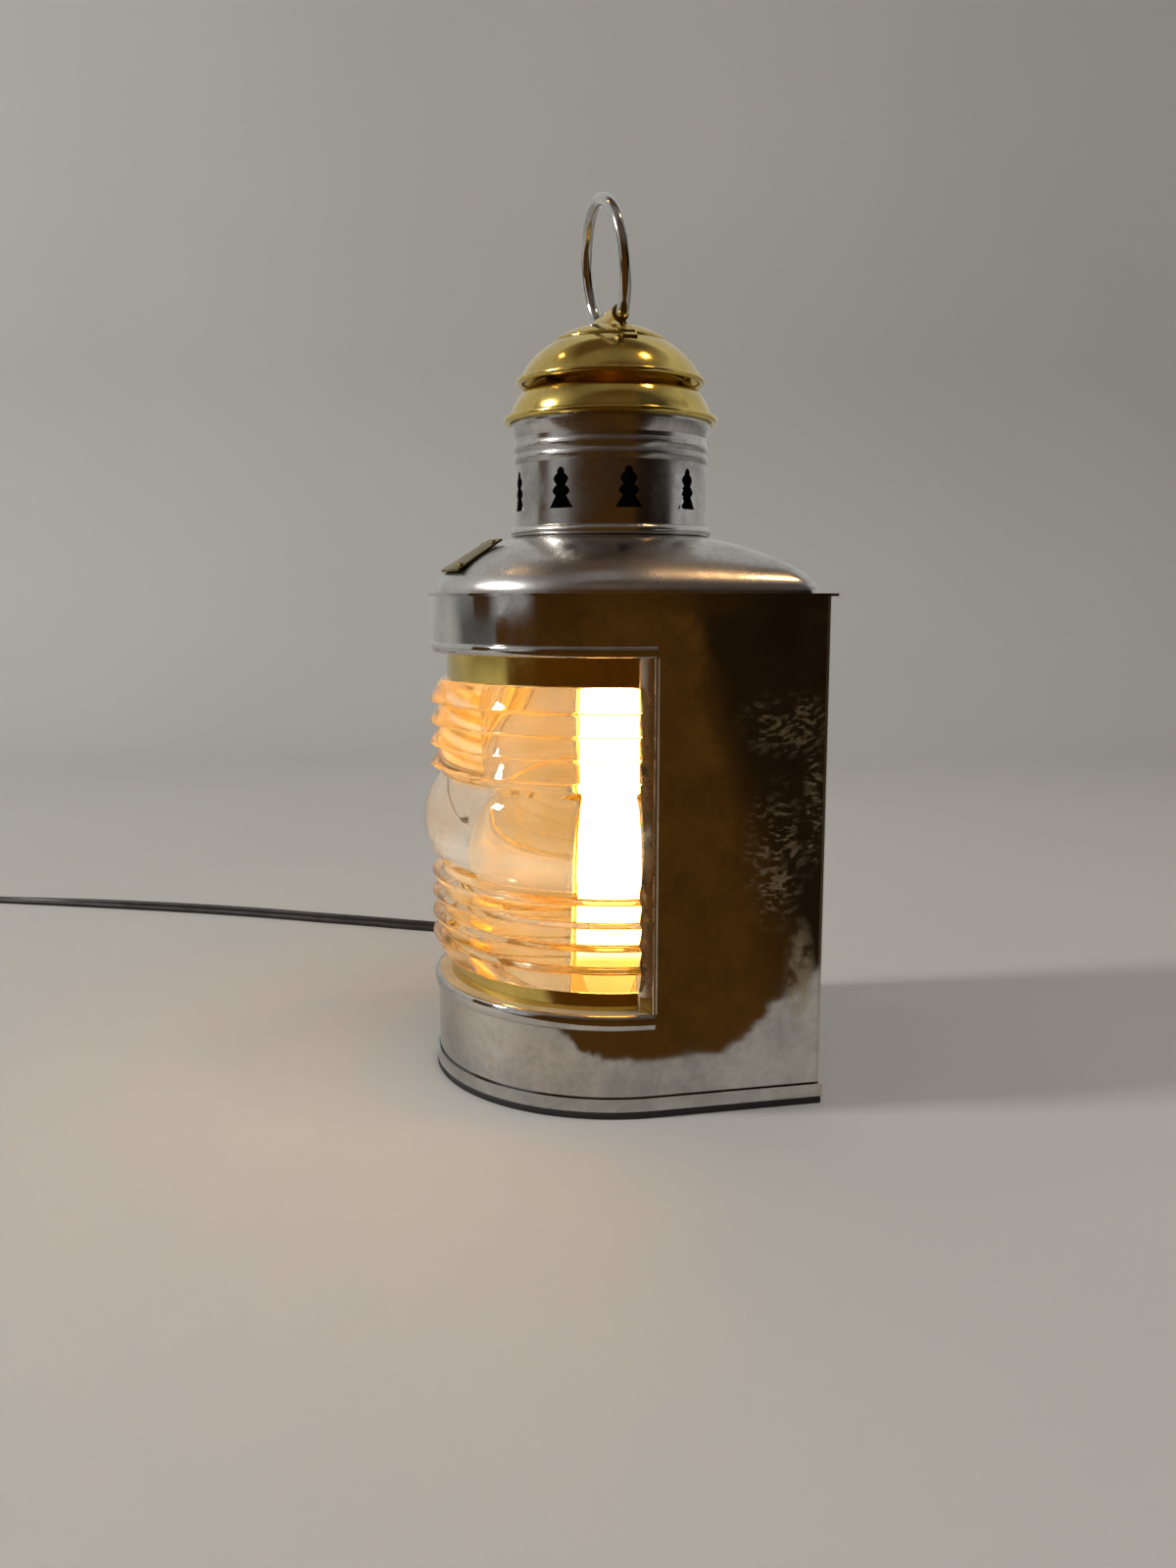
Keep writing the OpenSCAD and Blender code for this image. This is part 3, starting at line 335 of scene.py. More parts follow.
class Nodes:
    """Adds nodes to a tree. What goes into a node is a value or another node's output."""

    def __init__(self, tree):
        self.tree = tree

    def fill(self, socket, value):
        """Links an output to an input, or sets the input's own value."""
        if isinstance(value, bpy.types.NodeSocket):
            self.tree.links.new(value, socket)
        else:
            socket.default_value = value

    def node(self, kind, **inputs):
        """A node with its choices made and its inputs filled, by name or by number."""
        node = self.tree.nodes.new(kind)
        for name, value in inputs.items():
            if name in ("data_type", "operation", "mode", "input_type"):
                setattr(node, name, value)
            elif name[0] == "_":
                self.fill(node.inputs[int(name[1:])], value)
            else:
                self.fill(node.inputs[name.replace("_", " ")], value)
        return node

    def add(self, kind, output=0, **inputs):
        """One output of a new node."""
        return self.node(kind, **inputs).outputs[output]

    def number(self, operation, *values):
        """A sum done on numbers."""
        return self.add("ShaderNodeMath", operation=operation, **numbered(values))

    def chain(self, operation, first, *others):
        """A sum done on numbers one after another."""
        for other in others:
            first = self.number(operation, first, other)
        return first

    def vector(self, operation, *values):
        """A sum done on vectors."""
        return self.add("ShaderNodeVectorMath", operation=operation, **numbered(values))

    def length(self, vector):
        """Length of a vector."""
        return self.add("ShaderNodeVectorMath", 1, operation="LENGTH", _0=vector)

    def off_axis(self, spot):
        """Distance from the lamp axis."""
        return self.length(self.vector("MULTIPLY", spot, (1, 1, 0)))

    def parts(self, vector):
        """The three parts of a vector."""
        return self.node("ShaderNodeSeparateXYZ", _0=vector).outputs

    def whole(self, **parts):
        """A vector from its parts X, Y and Z."""
        return self.add("ShaderNodeCombineXYZ", **parts)

    def noise(self, spot, scale, detail=3.0, rough=0.5):
        """Noise from 0 to 1 of so many waves to the metre."""
        return self.add("ShaderNodeTexNoise", Vector=spot, Scale=scale, Detail=detail, Roughness=rough)

    def spread(self, value, low, high, to_low=0, to_high=1):
        """A value mapped from one range to another, held at its ends."""
        return self.add("ShaderNodeMapRange", **numbered((value, low, high, to_low, to_high)))

    def blend(self, factor, first, second):
        """A colour between two, by a factor."""
        return self.add("ShaderNodeMix", 2, data_type="RGBA", _0=factor, _6=first, _7=second)

    def bump(self, height, distance, **under):
        """A normal bumped by a height from 0 to 1, over another Normal if there is one."""
        return self.add("ShaderNodeBump", Strength=1.0, Distance=distance, Height=height, **under)

    def surface(self, colour, roughness, **more):
        """A surface of a colour and a roughness."""
        return self.add("ShaderNodeBsdfPrincipled", Base_Color=colour, Roughness=roughness, **more)

    def mix(self, factor, first, second):
        """A surface between two, by a factor."""
        return self.add("ShaderNodeMixShader", **numbered((factor, first, second)))

    def attribute(self, name):
        """A named vector of a mesh's points."""
        return self.add("GeometryNodeInputNamedAttribute", data_type="FLOAT_VECTOR", Name=name)

    def moved(self, shape, spot):
        """A geometry with its points at other spots."""
        return self.add("GeometryNodeSetPosition", Geometry=shape, Position=spot)

    def joined(self, *shapes):
        """Several geometries as one."""
        node = self.node("GeometryNodeJoinGeometry")
        for shape in shapes:
            self.fill(node.inputs[0], shape)
        return node.outputs[0]

    def copies(self, points, shape, turn):
        """A copy of a geometry on every point, turned by a vector of angles."""
        rotation = self.add("FunctionNodeEulerToRotation", Euler=turn)
        return self.add("GeometryNodeInstanceOnPoints", Points=points, Instance=shape, Rotation=rotation)


# Geometry Nodes


def geometry_tree(name, sizes):
    """A new tree with a geometry, its named sizes and a material as inputs; gives its nodes and inputs."""
    tree = bpy.data.node_groups.new(name, "GeometryNodeTree")
    for size, kind in {"Geometry": "Geometry", **sizes, "Material": "Material"}.items():
        tree.interface.new_socket(size, in_out="INPUT", socket_type="NodeSocket" + kind)
    tree.interface.new_socket("Geometry", in_out="OUTPUT", socket_type="NodeSocketGeometry")
    nodes = Nodes(tree)
    return nodes, nodes.node("NodeGroupInput").outputs


def end_tree(nodes, given, instances):
    """Ends a tree in real geometry with its material."""
    real = nodes.add("GeometryNodeRealizeInstances", Geometry=instances)
    dressed = nodes.add("GeometryNodeSetMaterial", Geometry=real, Material=given["Material"])
    nodes.node("NodeGroupOutput", _0=dressed)
    return nodes.tree


def rivet_tree():
    """A domed rivet on every seat, turned as the seat says."""
    sizes = ("Head diameter", "Head height", "Shank length")
    nodes, given = geometry_tree("rivets", dict.fromkeys(sizes, "Float"))
    half = nodes.number("MULTIPLY", given["Head diameter"], 0.5)
    ball = nodes.add("GeometryNodeMeshUVSphere", Segments=32, Rings=16, Radius=1.0)
    above = nodes.vector("MAXIMUM", nodes.add("GeometryNodeInputPosition"), (-1, -1, 0))
    size = nodes.whole(X=half, Y=half, Z=given["Head height"])
    head = nodes.moved(ball, nodes.vector("MULTIPLY", above, size))
    thin = nodes.number("MULTIPLY", half, 0.5)
    bar = nodes.add("GeometryNodeMeshCylinder", Vertices=24, Radius=thin, Depth=given["Shank length"])
    drop = nodes.number("MULTIPLY", given["Shank length"], -0.5)
    shank = nodes.add("GeometryNodeTransform", Geometry=bar, Translation=nodes.whole(Z=drop))
    rivet = nodes.joined(head, shank)
    return end_tree(nodes, given, nodes.copies(given["Geometry"], rivet, nodes.attribute("turn")))


def round_tree():
    """Copies of a piece evenly round the lamp axis."""
    nodes, given = geometry_tree("round_axis", {"Count": "Int", "First turn": "Float"})
    seats = nodes.add("GeometryNodePoints", Count=given["Count"])
    step = nodes.number("DIVIDE", 2 * math.pi, given["Count"])
    turn = nodes.number("MULTIPLY_ADD", nodes.add("GeometryNodeInputIndex"), step, given["First turn"])
    return end_tree(nodes, given, nodes.copies(seats, given["Geometry"], nodes.whole(Z=turn)))


def sampled(nodes, shape, value, index):
    """A vector of another shape's points, at an index."""
    return nodes.add("GeometryNodeSampleIndex", data_type="FLOAT_VECTOR", Geometry=shape, Value=value,
                     Index=index)


def carried(nodes, path, row, point):
    """A section's point at a row of a path: the row's spot, moved along its side and its up."""
    x, y, _ = nodes.parts(point)
    spot = sampled(nodes, path, nodes.add("GeometryNodeInputPosition"), row)
    for name, distance in (("side", x), ("up", y)):
        axis = sampled(nodes, path, nodes.attribute(name), row)
        move = nodes.add("ShaderNodeVectorMath", operation="SCALE", Vector=axis, Scale=distance)
        spot = nodes.vector("ADD", spot, move)
    return spot


def sweep_tree():
    """A section carried along a path, with flat ends unless the path is closed."""
    nodes, given = geometry_tree("sweep", {"Section": "Object", "Closed": "Bool"})
    path = given["Geometry"]
    section = nodes.add("GeometryNodeObjectInfo", "Geometry", Object=given["Section"])
    rows = nodes.add("GeometryNodeAttributeDomainSize", Geometry=path)
    size = nodes.add("GeometryNodeAttributeDomainSize", Geometry=section)
    width = nodes.number("ADD", size, 1.0)
    height = nodes.number("ADD", rows, given["Closed"])
    sheet = nodes.add("GeometryNodeMeshGrid", Vertices_X=height, Vertices_Y=width)
    index = nodes.add("GeometryNodeInputIndex")
    row = nodes.number("FLOOR", nodes.number("DIVIDE", index, width))
    row = nodes.number("MODULO", row, rows)
    column = nodes.chain("MODULO", index, width, size)
    spot = nodes.add("GeometryNodeInputPosition")
    point = sampled(nodes, section, spot, column)
    skin = nodes.moved(sheet, carried(nodes, path, row, point))
    curve = nodes.add("GeometryNodeMeshToCurve", Mesh=section)
    flat = nodes.add("GeometryNodeFillCurve", mode="NGONS", Curve=curve)
    last = nodes.number("SUBTRACT", rows, 1.0)
    caps = [nodes.moved(flat, carried(nodes, path, end, spot)) for end in (0, last)]
    bar = nodes.joined(skin, *caps)
    whole = nodes.add("GeometryNodeSwitch", input_type="GEOMETRY", _0=given["Closed"], _1=bar, _2=skin)
    return end_tree(nodes, given, whole)


def grown(obj, tree, material, sizes, sharp=35):
    """An object with its mesh replaced by what a tree makes of it."""
    modifier = obj.modifiers.new(tree.name, "NODES")
    modifier.node_group = tree
    inputs = {**sizes, "Material": material}
    for socket in tree.interface.items_tree:
        if socket.name in inputs:
            modifier[socket.identifier] = inputs[socket.name]
    evaluated = obj.evaluated_get(bpy.context.evaluated_depsgraph_get())
    mesh = bpy.data.meshes.new_from_object(evaluated)
    obj.modifiers.clear()
    obj.data = mesh
    cleaned(mesh, sharp)
    return obj


def swept(name, rows, outline, closed, material, sharp=35):
    """A piece made by carrying an outline along rows of spot, side and up, in millimetres."""
    spots, sides, ups = zip(*rows)
    path = loose(name, spots, side=sides, up=ups)
    loop = [(i, (i + 1) % len(outline)) for i in range(len(outline))]
    section = loose("section", [(*p, 0) for p in outline], loop)
    tree = bpy.data.node_groups.get("sweep") or sweep_tree()
    grown(path, tree, material, {"Section": section, "Closed": closed}, sharp)
    bpy.data.meshes.remove(section.data)
    return path


def turned(name, outlines, material, steps=192, half=180, sharp=35):
    """A piece of outlines of radius and height, turned about the lamp axis to both sides of the front."""
    closed = half == 180
    rows = []
    for i in range(steps if closed else steps + 1):
        out = heading(-90 + half * (2 * i / steps - 1))
        rows.append(((0, 0, 0), (*out, 0), (0, 0, 1)))
    return merged([swept(name, rows, outline, closed, material, sharp) for outline in outlines])


def laid(line, rolls):
    """Rows along a line of points, for a section that lies level but for its roll."""
    rows = []
    last = len(line) - 1
    for i, point in enumerate(line):
        along = (line[min(i + 1, last)] - line[max(i - 1, 0)]).normalized()
        level = Vector((along.y, -along.x, 0)).normalized()
        up = level.cross(along)
        c, s = heading(rolls[i])
        rows.append((point, level * c + up * s, up * c - level * s))
    return rows


# Materials


def shade(colour, share=1.0):
    """A colour made darker or lighter by a share."""
    return (*(c * share for c in colour), 1)


def new_material(name, surface, *values):
    """A node material with a surface that a function makes from object coordinates and values."""
    material = bpy.data.materials.get(name) or bpy.data.materials.new(name)
    material.use_nodes = True
    material.node_tree.nodes.clear()
    nodes = Nodes(material.node_tree)
    spot = nodes.add("ShaderNodeTexCoord", "Object")
    nodes.node("ShaderNodeOutputMaterial", Surface=surface(nodes, spot, *values))
    return material


def worn_metal(nodes, spot, bright, dull, smooth, rough, wave, grain):
    """Bright sheet metal with smudges, waves and fine grain."""
    smudge = nodes.spread(nodes.noise(spot, 45, detail=6, rough=0.6), 0.38, 0.68)
    speck = nodes.spread(nodes.noise(spot, 420), 0.45, 0.75)
    wear = nodes.number("MULTIPLY_ADD", speck, 0.35, smudge)
    normal = nodes.bump(nodes.noise(spot, 24, detail=2), wave)
    normal = nodes.bump(nodes.noise(spot, 900, detail=2), grain, Normal=normal)
    roughness = nodes.spread(wear, 0, 1.2, smooth, rough)
    return nodes.surface(nodes.blend(wear, bright, dull), roughness, Metallic=1.0, Normal=normal)


# Dents in the port side: middle and half size along Y and Z, in metres; and a tongue of painted highlight
# below them
DENTS = (((0.046, 0.138), (0.018, 0.012)), ((0.043, 0.092), (0.012, 0.027)),
         ((0.057, 0.110), (0.004, 0.026)))
PAINTED_TONGUE = ((0.053, 0.050), (0.006, 0.019))


def oval(nodes, y, z, middle, half):
    """Soft oval on the port side, from 0 to 1, by its middle and half size in metres."""
    across = nodes.number("DIVIDE", nodes.number("SUBTRACT", y, middle[0]), half[0])
    along = nodes.number("DIVIDE", nodes.number("SUBTRACT", z, middle[1]), half[1])
    return nodes.spread(nodes.length(nodes.whole(X=across, Y=along)), 0.5, 1.1, 1, 0)


def folds_and_painted_highlights(nodes, spot, x, y, z):
    """Dents of the back of the port side, whose pale strokes are painted highlights, and a painted
    highlight along its back corner, from 0 to 1.
    """
    drift = nodes.add("ShaderNodeTexNoise", 1, Vector=spot, Scale=35, Detail=1)
    bent = nodes.vector("MULTIPLY_ADD", drift, (0.02, 0.02, 0.02), spot)
    bent = nodes.vector("MULTIPLY", bent, (1, 0.35, 1))
    stroke = nodes.spread(nodes.noise(bent, 620, detail=2), 0.48, 0.62)
    patch = nodes.spread(nodes.noise(spot, 120, detail=2), 0.36, 0.5)
    dented = nodes.chain("MAXIMUM", *(oval(nodes, y, z, *dent) for dent in DENTS))
    stroke = nodes.chain("MULTIPLY", stroke, patch, dented)
    # A pale tongue of painted highlight below the dents
    smear = nodes.spread(nodes.noise(spot, 150), 0.36, 0.52, 0.1, 1)
    painted_tongue = nodes.number("MULTIPLY", smear, oval(nodes, y, z, *PAINTED_TONGUE))
    # Painted highlight: a pale line along the fold at the back corner of the port side
    painted_corner_highlight = nodes.spread(y, (SIDE_L - 1.3) * MM, (SIDE_L - 0.7) * MM, 0, 0.5)
    pale = nodes.chain("MAXIMUM", stroke, painted_tongue, painted_corner_highlight)
    return nodes.number("MULTIPLY", pale, nodes.spread(x, 0.062, 0.066, 0, 0.85))


def body_metal(nodes, spot, *wear):
    """Worn sheet metal, folded towards the back of its port side, where paler metal paints highlights on
    the folds and the corner, and dull tin inside the body.
    """
    x, y, z = nodes.parts(spot)
    dents_and_highlights = folds_and_painted_highlights(nodes, spot, x, y, z)
    normal = nodes.bump(dents_and_highlights, distance=1e-4)
    # Paler, rougher metal laid where the folds carry painted highlights
    painted_highlight_metal = nodes.surface((0.58, 0.5, 0.34, 1), 0.42, Metallic=1.0, Normal=normal)
    outside = nodes.mix(dents_and_highlights, worn_metal(nodes, spot, *wear), painted_highlight_metal)
    mottle = nodes.spread(nodes.noise(spot, 60, detail=4), 0.3, 0.7)
    tin = nodes.blend(mottle, (0.55, 0.47, 0.32, 1), (0.42, 0.35, 0.22, 1))
    inside = nodes.surface(tin, 0.55, Metallic=0.3)
    plan = nodes.whole(X=x, Y=nodes.number("MINIMUM", y, 0.0))
    within = nodes.number("LESS_THAN", nodes.length(plan), (BODY_R - SHEET / 2) * MM)
    ahead = nodes.number("LESS_THAN", y, (SIDE_L - SHEET / 2) * MM)
    return nodes.mix(nodes.number("MULTIPLY", within, ahead), outside, inside)


def sooty_metal(nodes, spot, *wear):
    """Worn sheet metal of the chimney, black with soot inside."""
    inner = nodes.number("LESS_THAN", nodes.off_axis(spot), (CHIMNEY_R - SHEET * 0.95) * MM)
    black = nodes.blend(nodes.noise(spot, 150), (0.005, 0.004, 0.003, 1), (0.012, 0.009, 0.007, 1))
    return nodes.mix(inner, worn_metal(nodes, spot, *wear), nodes.surface(black, 0.9))


def plain_matter(nodes, spot, colour, other, roughness, grain):
    """Matt or satin matter with a little colour variation and grain."""
    mottle = nodes.spread(nodes.noise(spot, 120, detail=4), 0.35, 0.65)
    rough = nodes.spread(mottle, 0, 1, roughness * 0.85, min(roughness * 1.15, 1))
    normal = nodes.bump(nodes.noise(spot, 1500, detail=2), grain)
    return nodes.surface(nodes.blend(mottle, colour, other), rough, Normal=normal)


def clear_glass(nodes, spot, clean, grimy, wave, film, ior=1.5):
    """Pressed glass, clear at its belt and grimy at its ribs, with a thin film of dust inside."""
    height = nodes.number("SUBTRACT", nodes.parts(spot)[Z], BELT_Z * MM)
    height = nodes.number("ABSOLUTE", height)
    ribbed = nodes.spread(height, (BELT_HALF - 3) * MM, (BELT_HALF + 3) * MM)
    mottle = nodes.noise(spot, 60, detail=2)
    colour = nodes.blend(mottle, nodes.blend(ribbed, clean, grimy), (1, 1, 1, 1))
    rough = nodes.spread(mottle, 0, 1, 0.0, 0.004)
    normal = nodes.bump(nodes.noise(spot, 160, detail=2), wave)
    glass = nodes.surface(colour, rough, IOR=ior, Transmission_Weight=1.0, Normal=normal)
    dust = nodes.add("ShaderNodeBsdfTranslucent", Color=(0.95, 0.8, 0.15, 1))
    share = nodes.spread(nodes.noise(spot, 35, detail=4), 0.3, 0.7, film * 0.6, film * 1.4)
    inner = nodes.number("LESS_THAN", nodes.off_axis(spot), (LENS_IN_R + 0.5) * MM)
    mirrored = nodes.add("ShaderNodeFresnel", IOR=ior)
    hidden = nodes.number("MULTIPLY", mirrored, nodes.spread(ribbed, 0, 1, 0.75, 0))
    seen = nodes.number("SUBTRACT", 1.0, hidden)
    return nodes.mix(nodes.chain("MULTIPLY", share, inner, seen), glass, dust)


def lit_glass(nodes, spot, colour, strength):
    """Frosted glass of a lit bulb, dim next to its base and uneven above."""
    mottle = nodes.spread(nodes.noise(spot, 80, detail=2), 0, 1, strength * 0.9, strength * 1.1)
    up = nodes.spread(nodes.parts(spot)[Z], 0.058, 0.088, 0.02, 1)
    glow = nodes.number("MULTIPLY", mottle, up)
    return nodes.surface(colour, 0.4, Emission_Color=colour, Emission_Strength=glow)


# Settings


class LanternStageSettings(bpy.types.PropertyGroup):
    """Camera and studio."""

    eye: bpy.props.FloatVectorProperty(
        name="Eye", description="Place of the camera", subtype="TRANSLATION", unit="LENGTH",
        default=(0.4789, -0.1157, 0.182))
    facing: bpy.props.FloatProperty(
        name="Facing", description="Direction that the camera faces, from +X", subtype="ANGLE",
        default=math.radians(167.4))
    dip: bpy.props.FloatProperty(
        name="Dip", description="Angle of the camera below level", subtype="ANGLE",
        default=math.radians(8.45))
    focal: bpy.props.FloatProperty(
        name="Focal length", description="Focal length on a sensor of 36 mm", unit="CAMERA",
        default=29.25)
    key: bpy.props.FloatProperty(
        name="Key light", description="Power of the light from the left", unit="POWER", default=54.0)
    top: bpy.props.FloatProperty(
        name="Top light", description="Power of the light from above", unit="POWER", default=10.0)
    warm: bpy.props.FloatProperty(
        name="Warm light", description="Power of the left warm lamp; the right one has five times as much",
        unit="POWER", default=0.5)
    spill: bpy.props.FloatProperty(
        name="Spill", description="Power of the warm light before the lens", unit="POWER", default=0.012)


class LanternCordSettings(bpy.types.PropertyGroup):
    """Flat two-core cord and its coil."""

    width: bpy.props.FloatProperty(
        name="Width", description="Width over both cores", subtype="DISTANCE", unit="LENGTH",
        default=0.0055)
    thickness: bpy.props.FloatProperty(
        name="Thickness", description="Thickness of one core", subtype="DISTANCE", unit="LENGTH",
        default=0.0028)
    turns: bpy.props.FloatProperty(
        name="Turns", description="Turns of the coil", default=6.5)
    coil_radius: bpy.props.FloatProperty(
        name="Coil radius", description="Radius of the outer turn", subtype="DISTANCE", unit="LENGTH",
        default=0.0415)


class LanternLensSettings(bpy.types.PropertyGroup):
    """Ribbed glass and the bulb behind it."""

    ribs: bpy.props.IntProperty(
        name="Ribs", description="Ribs above the belt, and as many below it", default=4)
    pitch: bpy.props.FloatProperty(
        name="Rib pitch", description="Height from rib to rib", subtype="DISTANCE", unit="LENGTH",
        default=0.008)
    glow: bpy.props.FloatProperty(
        name="Glow", description="Strength of the bulb's light", default=70.0)


class LanternFinishSettings(bpy.types.PropertyGroup):
    """Colours of the metals, the glass, the light and the cord."""

    steel: bpy.props.FloatVectorProperty(
        name="Steel", description="Colour of the bright sheet steel", subtype="COLOR", min=0, max=1,
        default=(0.62, 0.60, 0.57))
    brass: bpy.props.FloatVectorProperty(
        name="Brass", description="Colour of the polished brass", subtype="COLOR", min=0, max=1,
        default=(0.76, 0.56, 0.15))
    glass: bpy.props.FloatVectorProperty(
        name="Glass", description="Tint of the lens at its belt", subtype="COLOR", min=0, max=1,
        default=(1.0, 0.88, 0.64))
    grime: bpy.props.FloatVectorProperty(
        name="Grime", description="Tint of the lens at its ribs", subtype="COLOR", min=0, max=1,
        default=(1.0, 0.72, 0.25))
    light: bpy.props.FloatVectorProperty(
        name="Light", description="Colour of the bulb's light", subtype="COLOR", min=0, max=1,
        default=(1.0, 0.52, 0.15))
    cord: bpy.props.FloatVectorProperty(
        name="Cord", description="Colour of the cord's sheath", subtype="COLOR", min=0, max=1,
        default=(0.012, 0.010, 0.009))


# Operators


# What polished metal sees of the room, and what lights the rest
AMBER_ROOM = (0.085, 0.036, 0.006, 1)
BLACK_ROOM = (0.016, 0.009, 0.003, 1)
PALE_SCREEN = (0.52, 0.52, 0.50, 1)
PALE_ROOM = (0.62, 0.63, 0.64, 1)
GREY_ROOM = (0.33, 0.33, 0.33, 1)
# The camera's sensor in millimetres, and the colours of the lights
SENSOR_W = 36
DAYLIGHT = (1.0, 0.98, 0.95)
WHITE = (1.0, 1.0, 1.0)
LAMPLIGHT = (1.0, 0.58, 0.25)
LENS_LIGHT = (1.0, 0.68, 0.38)


class LANTERN_OT_stage(bpy.types.Operator):
    """Makes the camera, the floor, the backdrop and the lights"""

    bl_idname = "lantern.stage"
    bl_label = "Stage"

    def execute(self, context):
        settings = context.scene.lantern_stage
        self.camera(context, settings)
        self.floor(settings)
        self.lights(settings)
        self.world(context)
        context.scene.view_settings.view_transform = "Standard"
        return {"FINISHED"}

    def camera(self, context, settings):
        """The camera at the photograph's angle."""
        data = bpy.data.cameras.new("camera")
        data.lens = settings.focal
        data.sensor_width = SENSOR_W
        data.clip_start = 0.01
        camera = shown("camera", data)
        camera.location = settings.eye
        camera.rotation_euler = (math.pi / 2 - settings.dip, 0, settings.facing - math.pi / 2)
        context.scene.camera = camera

    def floor(self, settings, reach=12000, back=900, bend=500, top=3000):
        """A floor that turns up into a backdrop behind the lantern, seen from the camera."""
        away = heading(math.degrees(settings.facing))
        across = Vector((away.y, -away.x))
        profile = [(-reach, 0), (back, 0)]
        profile += [Vector((back, bend)) + bend * heading(a) for a in range(-84, 1, 6)]
        profile.append((back + bend, top))
        points = []
        for side in (-reach, reach):
            points += [(*(away * d + across * side), z) for d, z in profile]
        count = len(profile)
        faces = [(i, i + 1, count + i + 1, count + i) for i in range(count - 1)]
        floor = piece("stage_floor", points, faces, sharp=60)
        floor.data.materials.append(new_material("stage_floor", self.paper))

    def paper(self, nodes, spot):
        """Pale paper. Polished metal sees the dark room in its place to port, and a pale screen behind."""
        x, y, z = nodes.parts(spot)
        colour = nodes.blend(nodes.noise(spot, 1.6), (0.40, 0.40, 0.38, 1), (0.48, 0.48, 0.46, 1))
        mirrored = nodes.add("ShaderNodeLightPath", "Is Glossy Ray")
        room = nodes.add("ShaderNodeEmission", Color=self.dark_room(nodes, x, y), Strength=1.0)
        hidden = nodes.number("MULTIPLY", self.dark_floor(nodes, spot, x, y), mirrored)
        surface = nodes.mix(hidden, nodes.surface(colour, 0.7), room)
        screen = nodes.add("ShaderNodeEmission", Color=PALE_SCREEN, Strength=1.0)
        behind = nodes.number("MULTIPLY", nodes.spread(z, 0.05, 0.4), mirrored)
        return nodes.mix(behind, surface, screen)

    def dark_floor(self, nodes, spot, x, y):
        """Where polished metal sees the dark room instead of the floor: out to port, less far aft."""
        ragged = nodes.spread(nodes.noise(spot, 40), 0.3, 0.7, -0.005, 0.005)
        slant = nodes.number("MULTIPLY_ADD", y, 1.2, -0.052)
        edge = nodes.number("MAXIMUM", slant, 0.0)
        past = nodes.number("SUBTRACT", nodes.number("ADD", x, ragged), edge)
        return nodes.spread(past, 0.119, 0.125)

    def dark_room(self, nodes, x, y):
        """Colour of the dark room: amber ahead to port, nearly black towards the back."""
        slant = nodes.number("MULTIPLY_ADD", x, -0.31, y)
        return nodes.blend(nodes.spread(slant, 0.02, 0.06), AMBER_ROOM, BLACK_ROOM)

    def lights(self, settings):
        """Studio lights, two warm lamps above and the light that the lens spills on the floor."""
        lamp = settings.warm
        self.light("key_light", (-0.2, -2.6, 1.75), (0, 0, 0.12), 0.35, settings.key, DAYLIGHT)
        top = self.light("top_light", (0.8, 0.4, 1.6), (0.2, 0, 0.1), 1.3, settings.top, WHITE)
        top.visible_glossy = False
        self.light("left_lamp", (-0.56, -0.74, 1.56), (0, 0, 0.2), 0.06, lamp, LAMPLIGHT)
        self.light("right_lamp", (0.2, 0.66, 1.66), (0, 0, 0.2), 0.12, 5 * lamp, LAMPLIGHT)
        self.light("spill_light", (0.04, -0.12, 0.1), (0.08, -0.2, 0), 0.15, settings.spill, LENS_LIGHT)

    def light(self, name, spot, target, size, power, colour):
        """A square light that shines from a spot to a target."""
        data = bpy.data.lights.new(name, "AREA")
        data.energy = power
        data.color = colour
        data.size = size
        light = shown(name, data)
        light.location = spot
        aim = Vector(target) - Vector(spot)
        light.rotation_euler = aim.to_track_quat("-Z", "Y").to_euler()
        return light

    def world(self, context):
        """A pale room for light, which polished metal sees as dark to port and pale above."""
        world = bpy.data.worlds.new("studio")
        context.scene.world = world
        world.use_nodes = True
        world.node_tree.nodes.clear()
        nodes = Nodes(world.node_tree)
        x, y, z = nodes.parts(nodes.add("ShaderNodeTexCoord", "Generated"))
        above = nodes.chain("MULTIPLY", nodes.spread(z, 0.3, 0.6), nodes.spread(z, 0.7, 0.92, 1, 0.08),
                            nodes.spread(x, 0.05, 0.45, 1, 0.15))
        sides = nodes.chain("MULTIPLY", nodes.spread(x, -0.1, 0.05), nodes.spread(x, 0.35, 0.5, 1, 0),
                            nodes.spread(z, 0.35, 0.6, 1, 0.35))
        dark = nodes.blend(nodes.spread(y, 0.25, 0.36), AMBER_ROOM, BLACK_ROOM)
        room = nodes.blend(nodes.number("MAXIMUM", above, sides), dark, PALE_ROOM)
        mirrored = nodes.add("ShaderNodeLightPath", "Is Glossy Ray")
        colour = nodes.blend(mirrored, GREY_ROOM, room)
        background = nodes.add("ShaderNodeBackground", Color=colour, Strength=0.8)
        nodes.node("ShaderNodeOutputWorld", Surface=background)


# The free cord in millimetres: place, height above the table where it is lifted, and roll
CORD_ROUTE = (
    (-104, 30, 13.2, 0), (-116, 29, 9.6, 0), (-128, 26, 5.6, 10), (-140, 21, 2.4, 20),
    (-152, 13, 0.6, 30), (-164, 2, 0, 40), (-176, -12, 0, 50), (-188, -29, 0, 60),
    (-199, -47, 0, 65), (-210, -67, 0, 70), (-222, -88, 0, 70), (-234, -110, 0, 70),
    (-247, -133, 0, 70), (-260, -157, 0, 65), (-273, -183, 0, 60), (-286, -211, 0, 50),
    (-299, -240, 0, 40), (-311, -268, 0, 25), (-323, -296, 0, 10), (-333, -320, 0.4, 0),
    (-343, -344, 0.8, 0),
)
CORD_START = Vector((-89.5, 30, 17))
COIL_GAP = 0.6
COIL_LIFT = 0.9
COIL_CLIMB = 0.5
PLUG_LEAD = 28.0
PLUG_H = 13.0
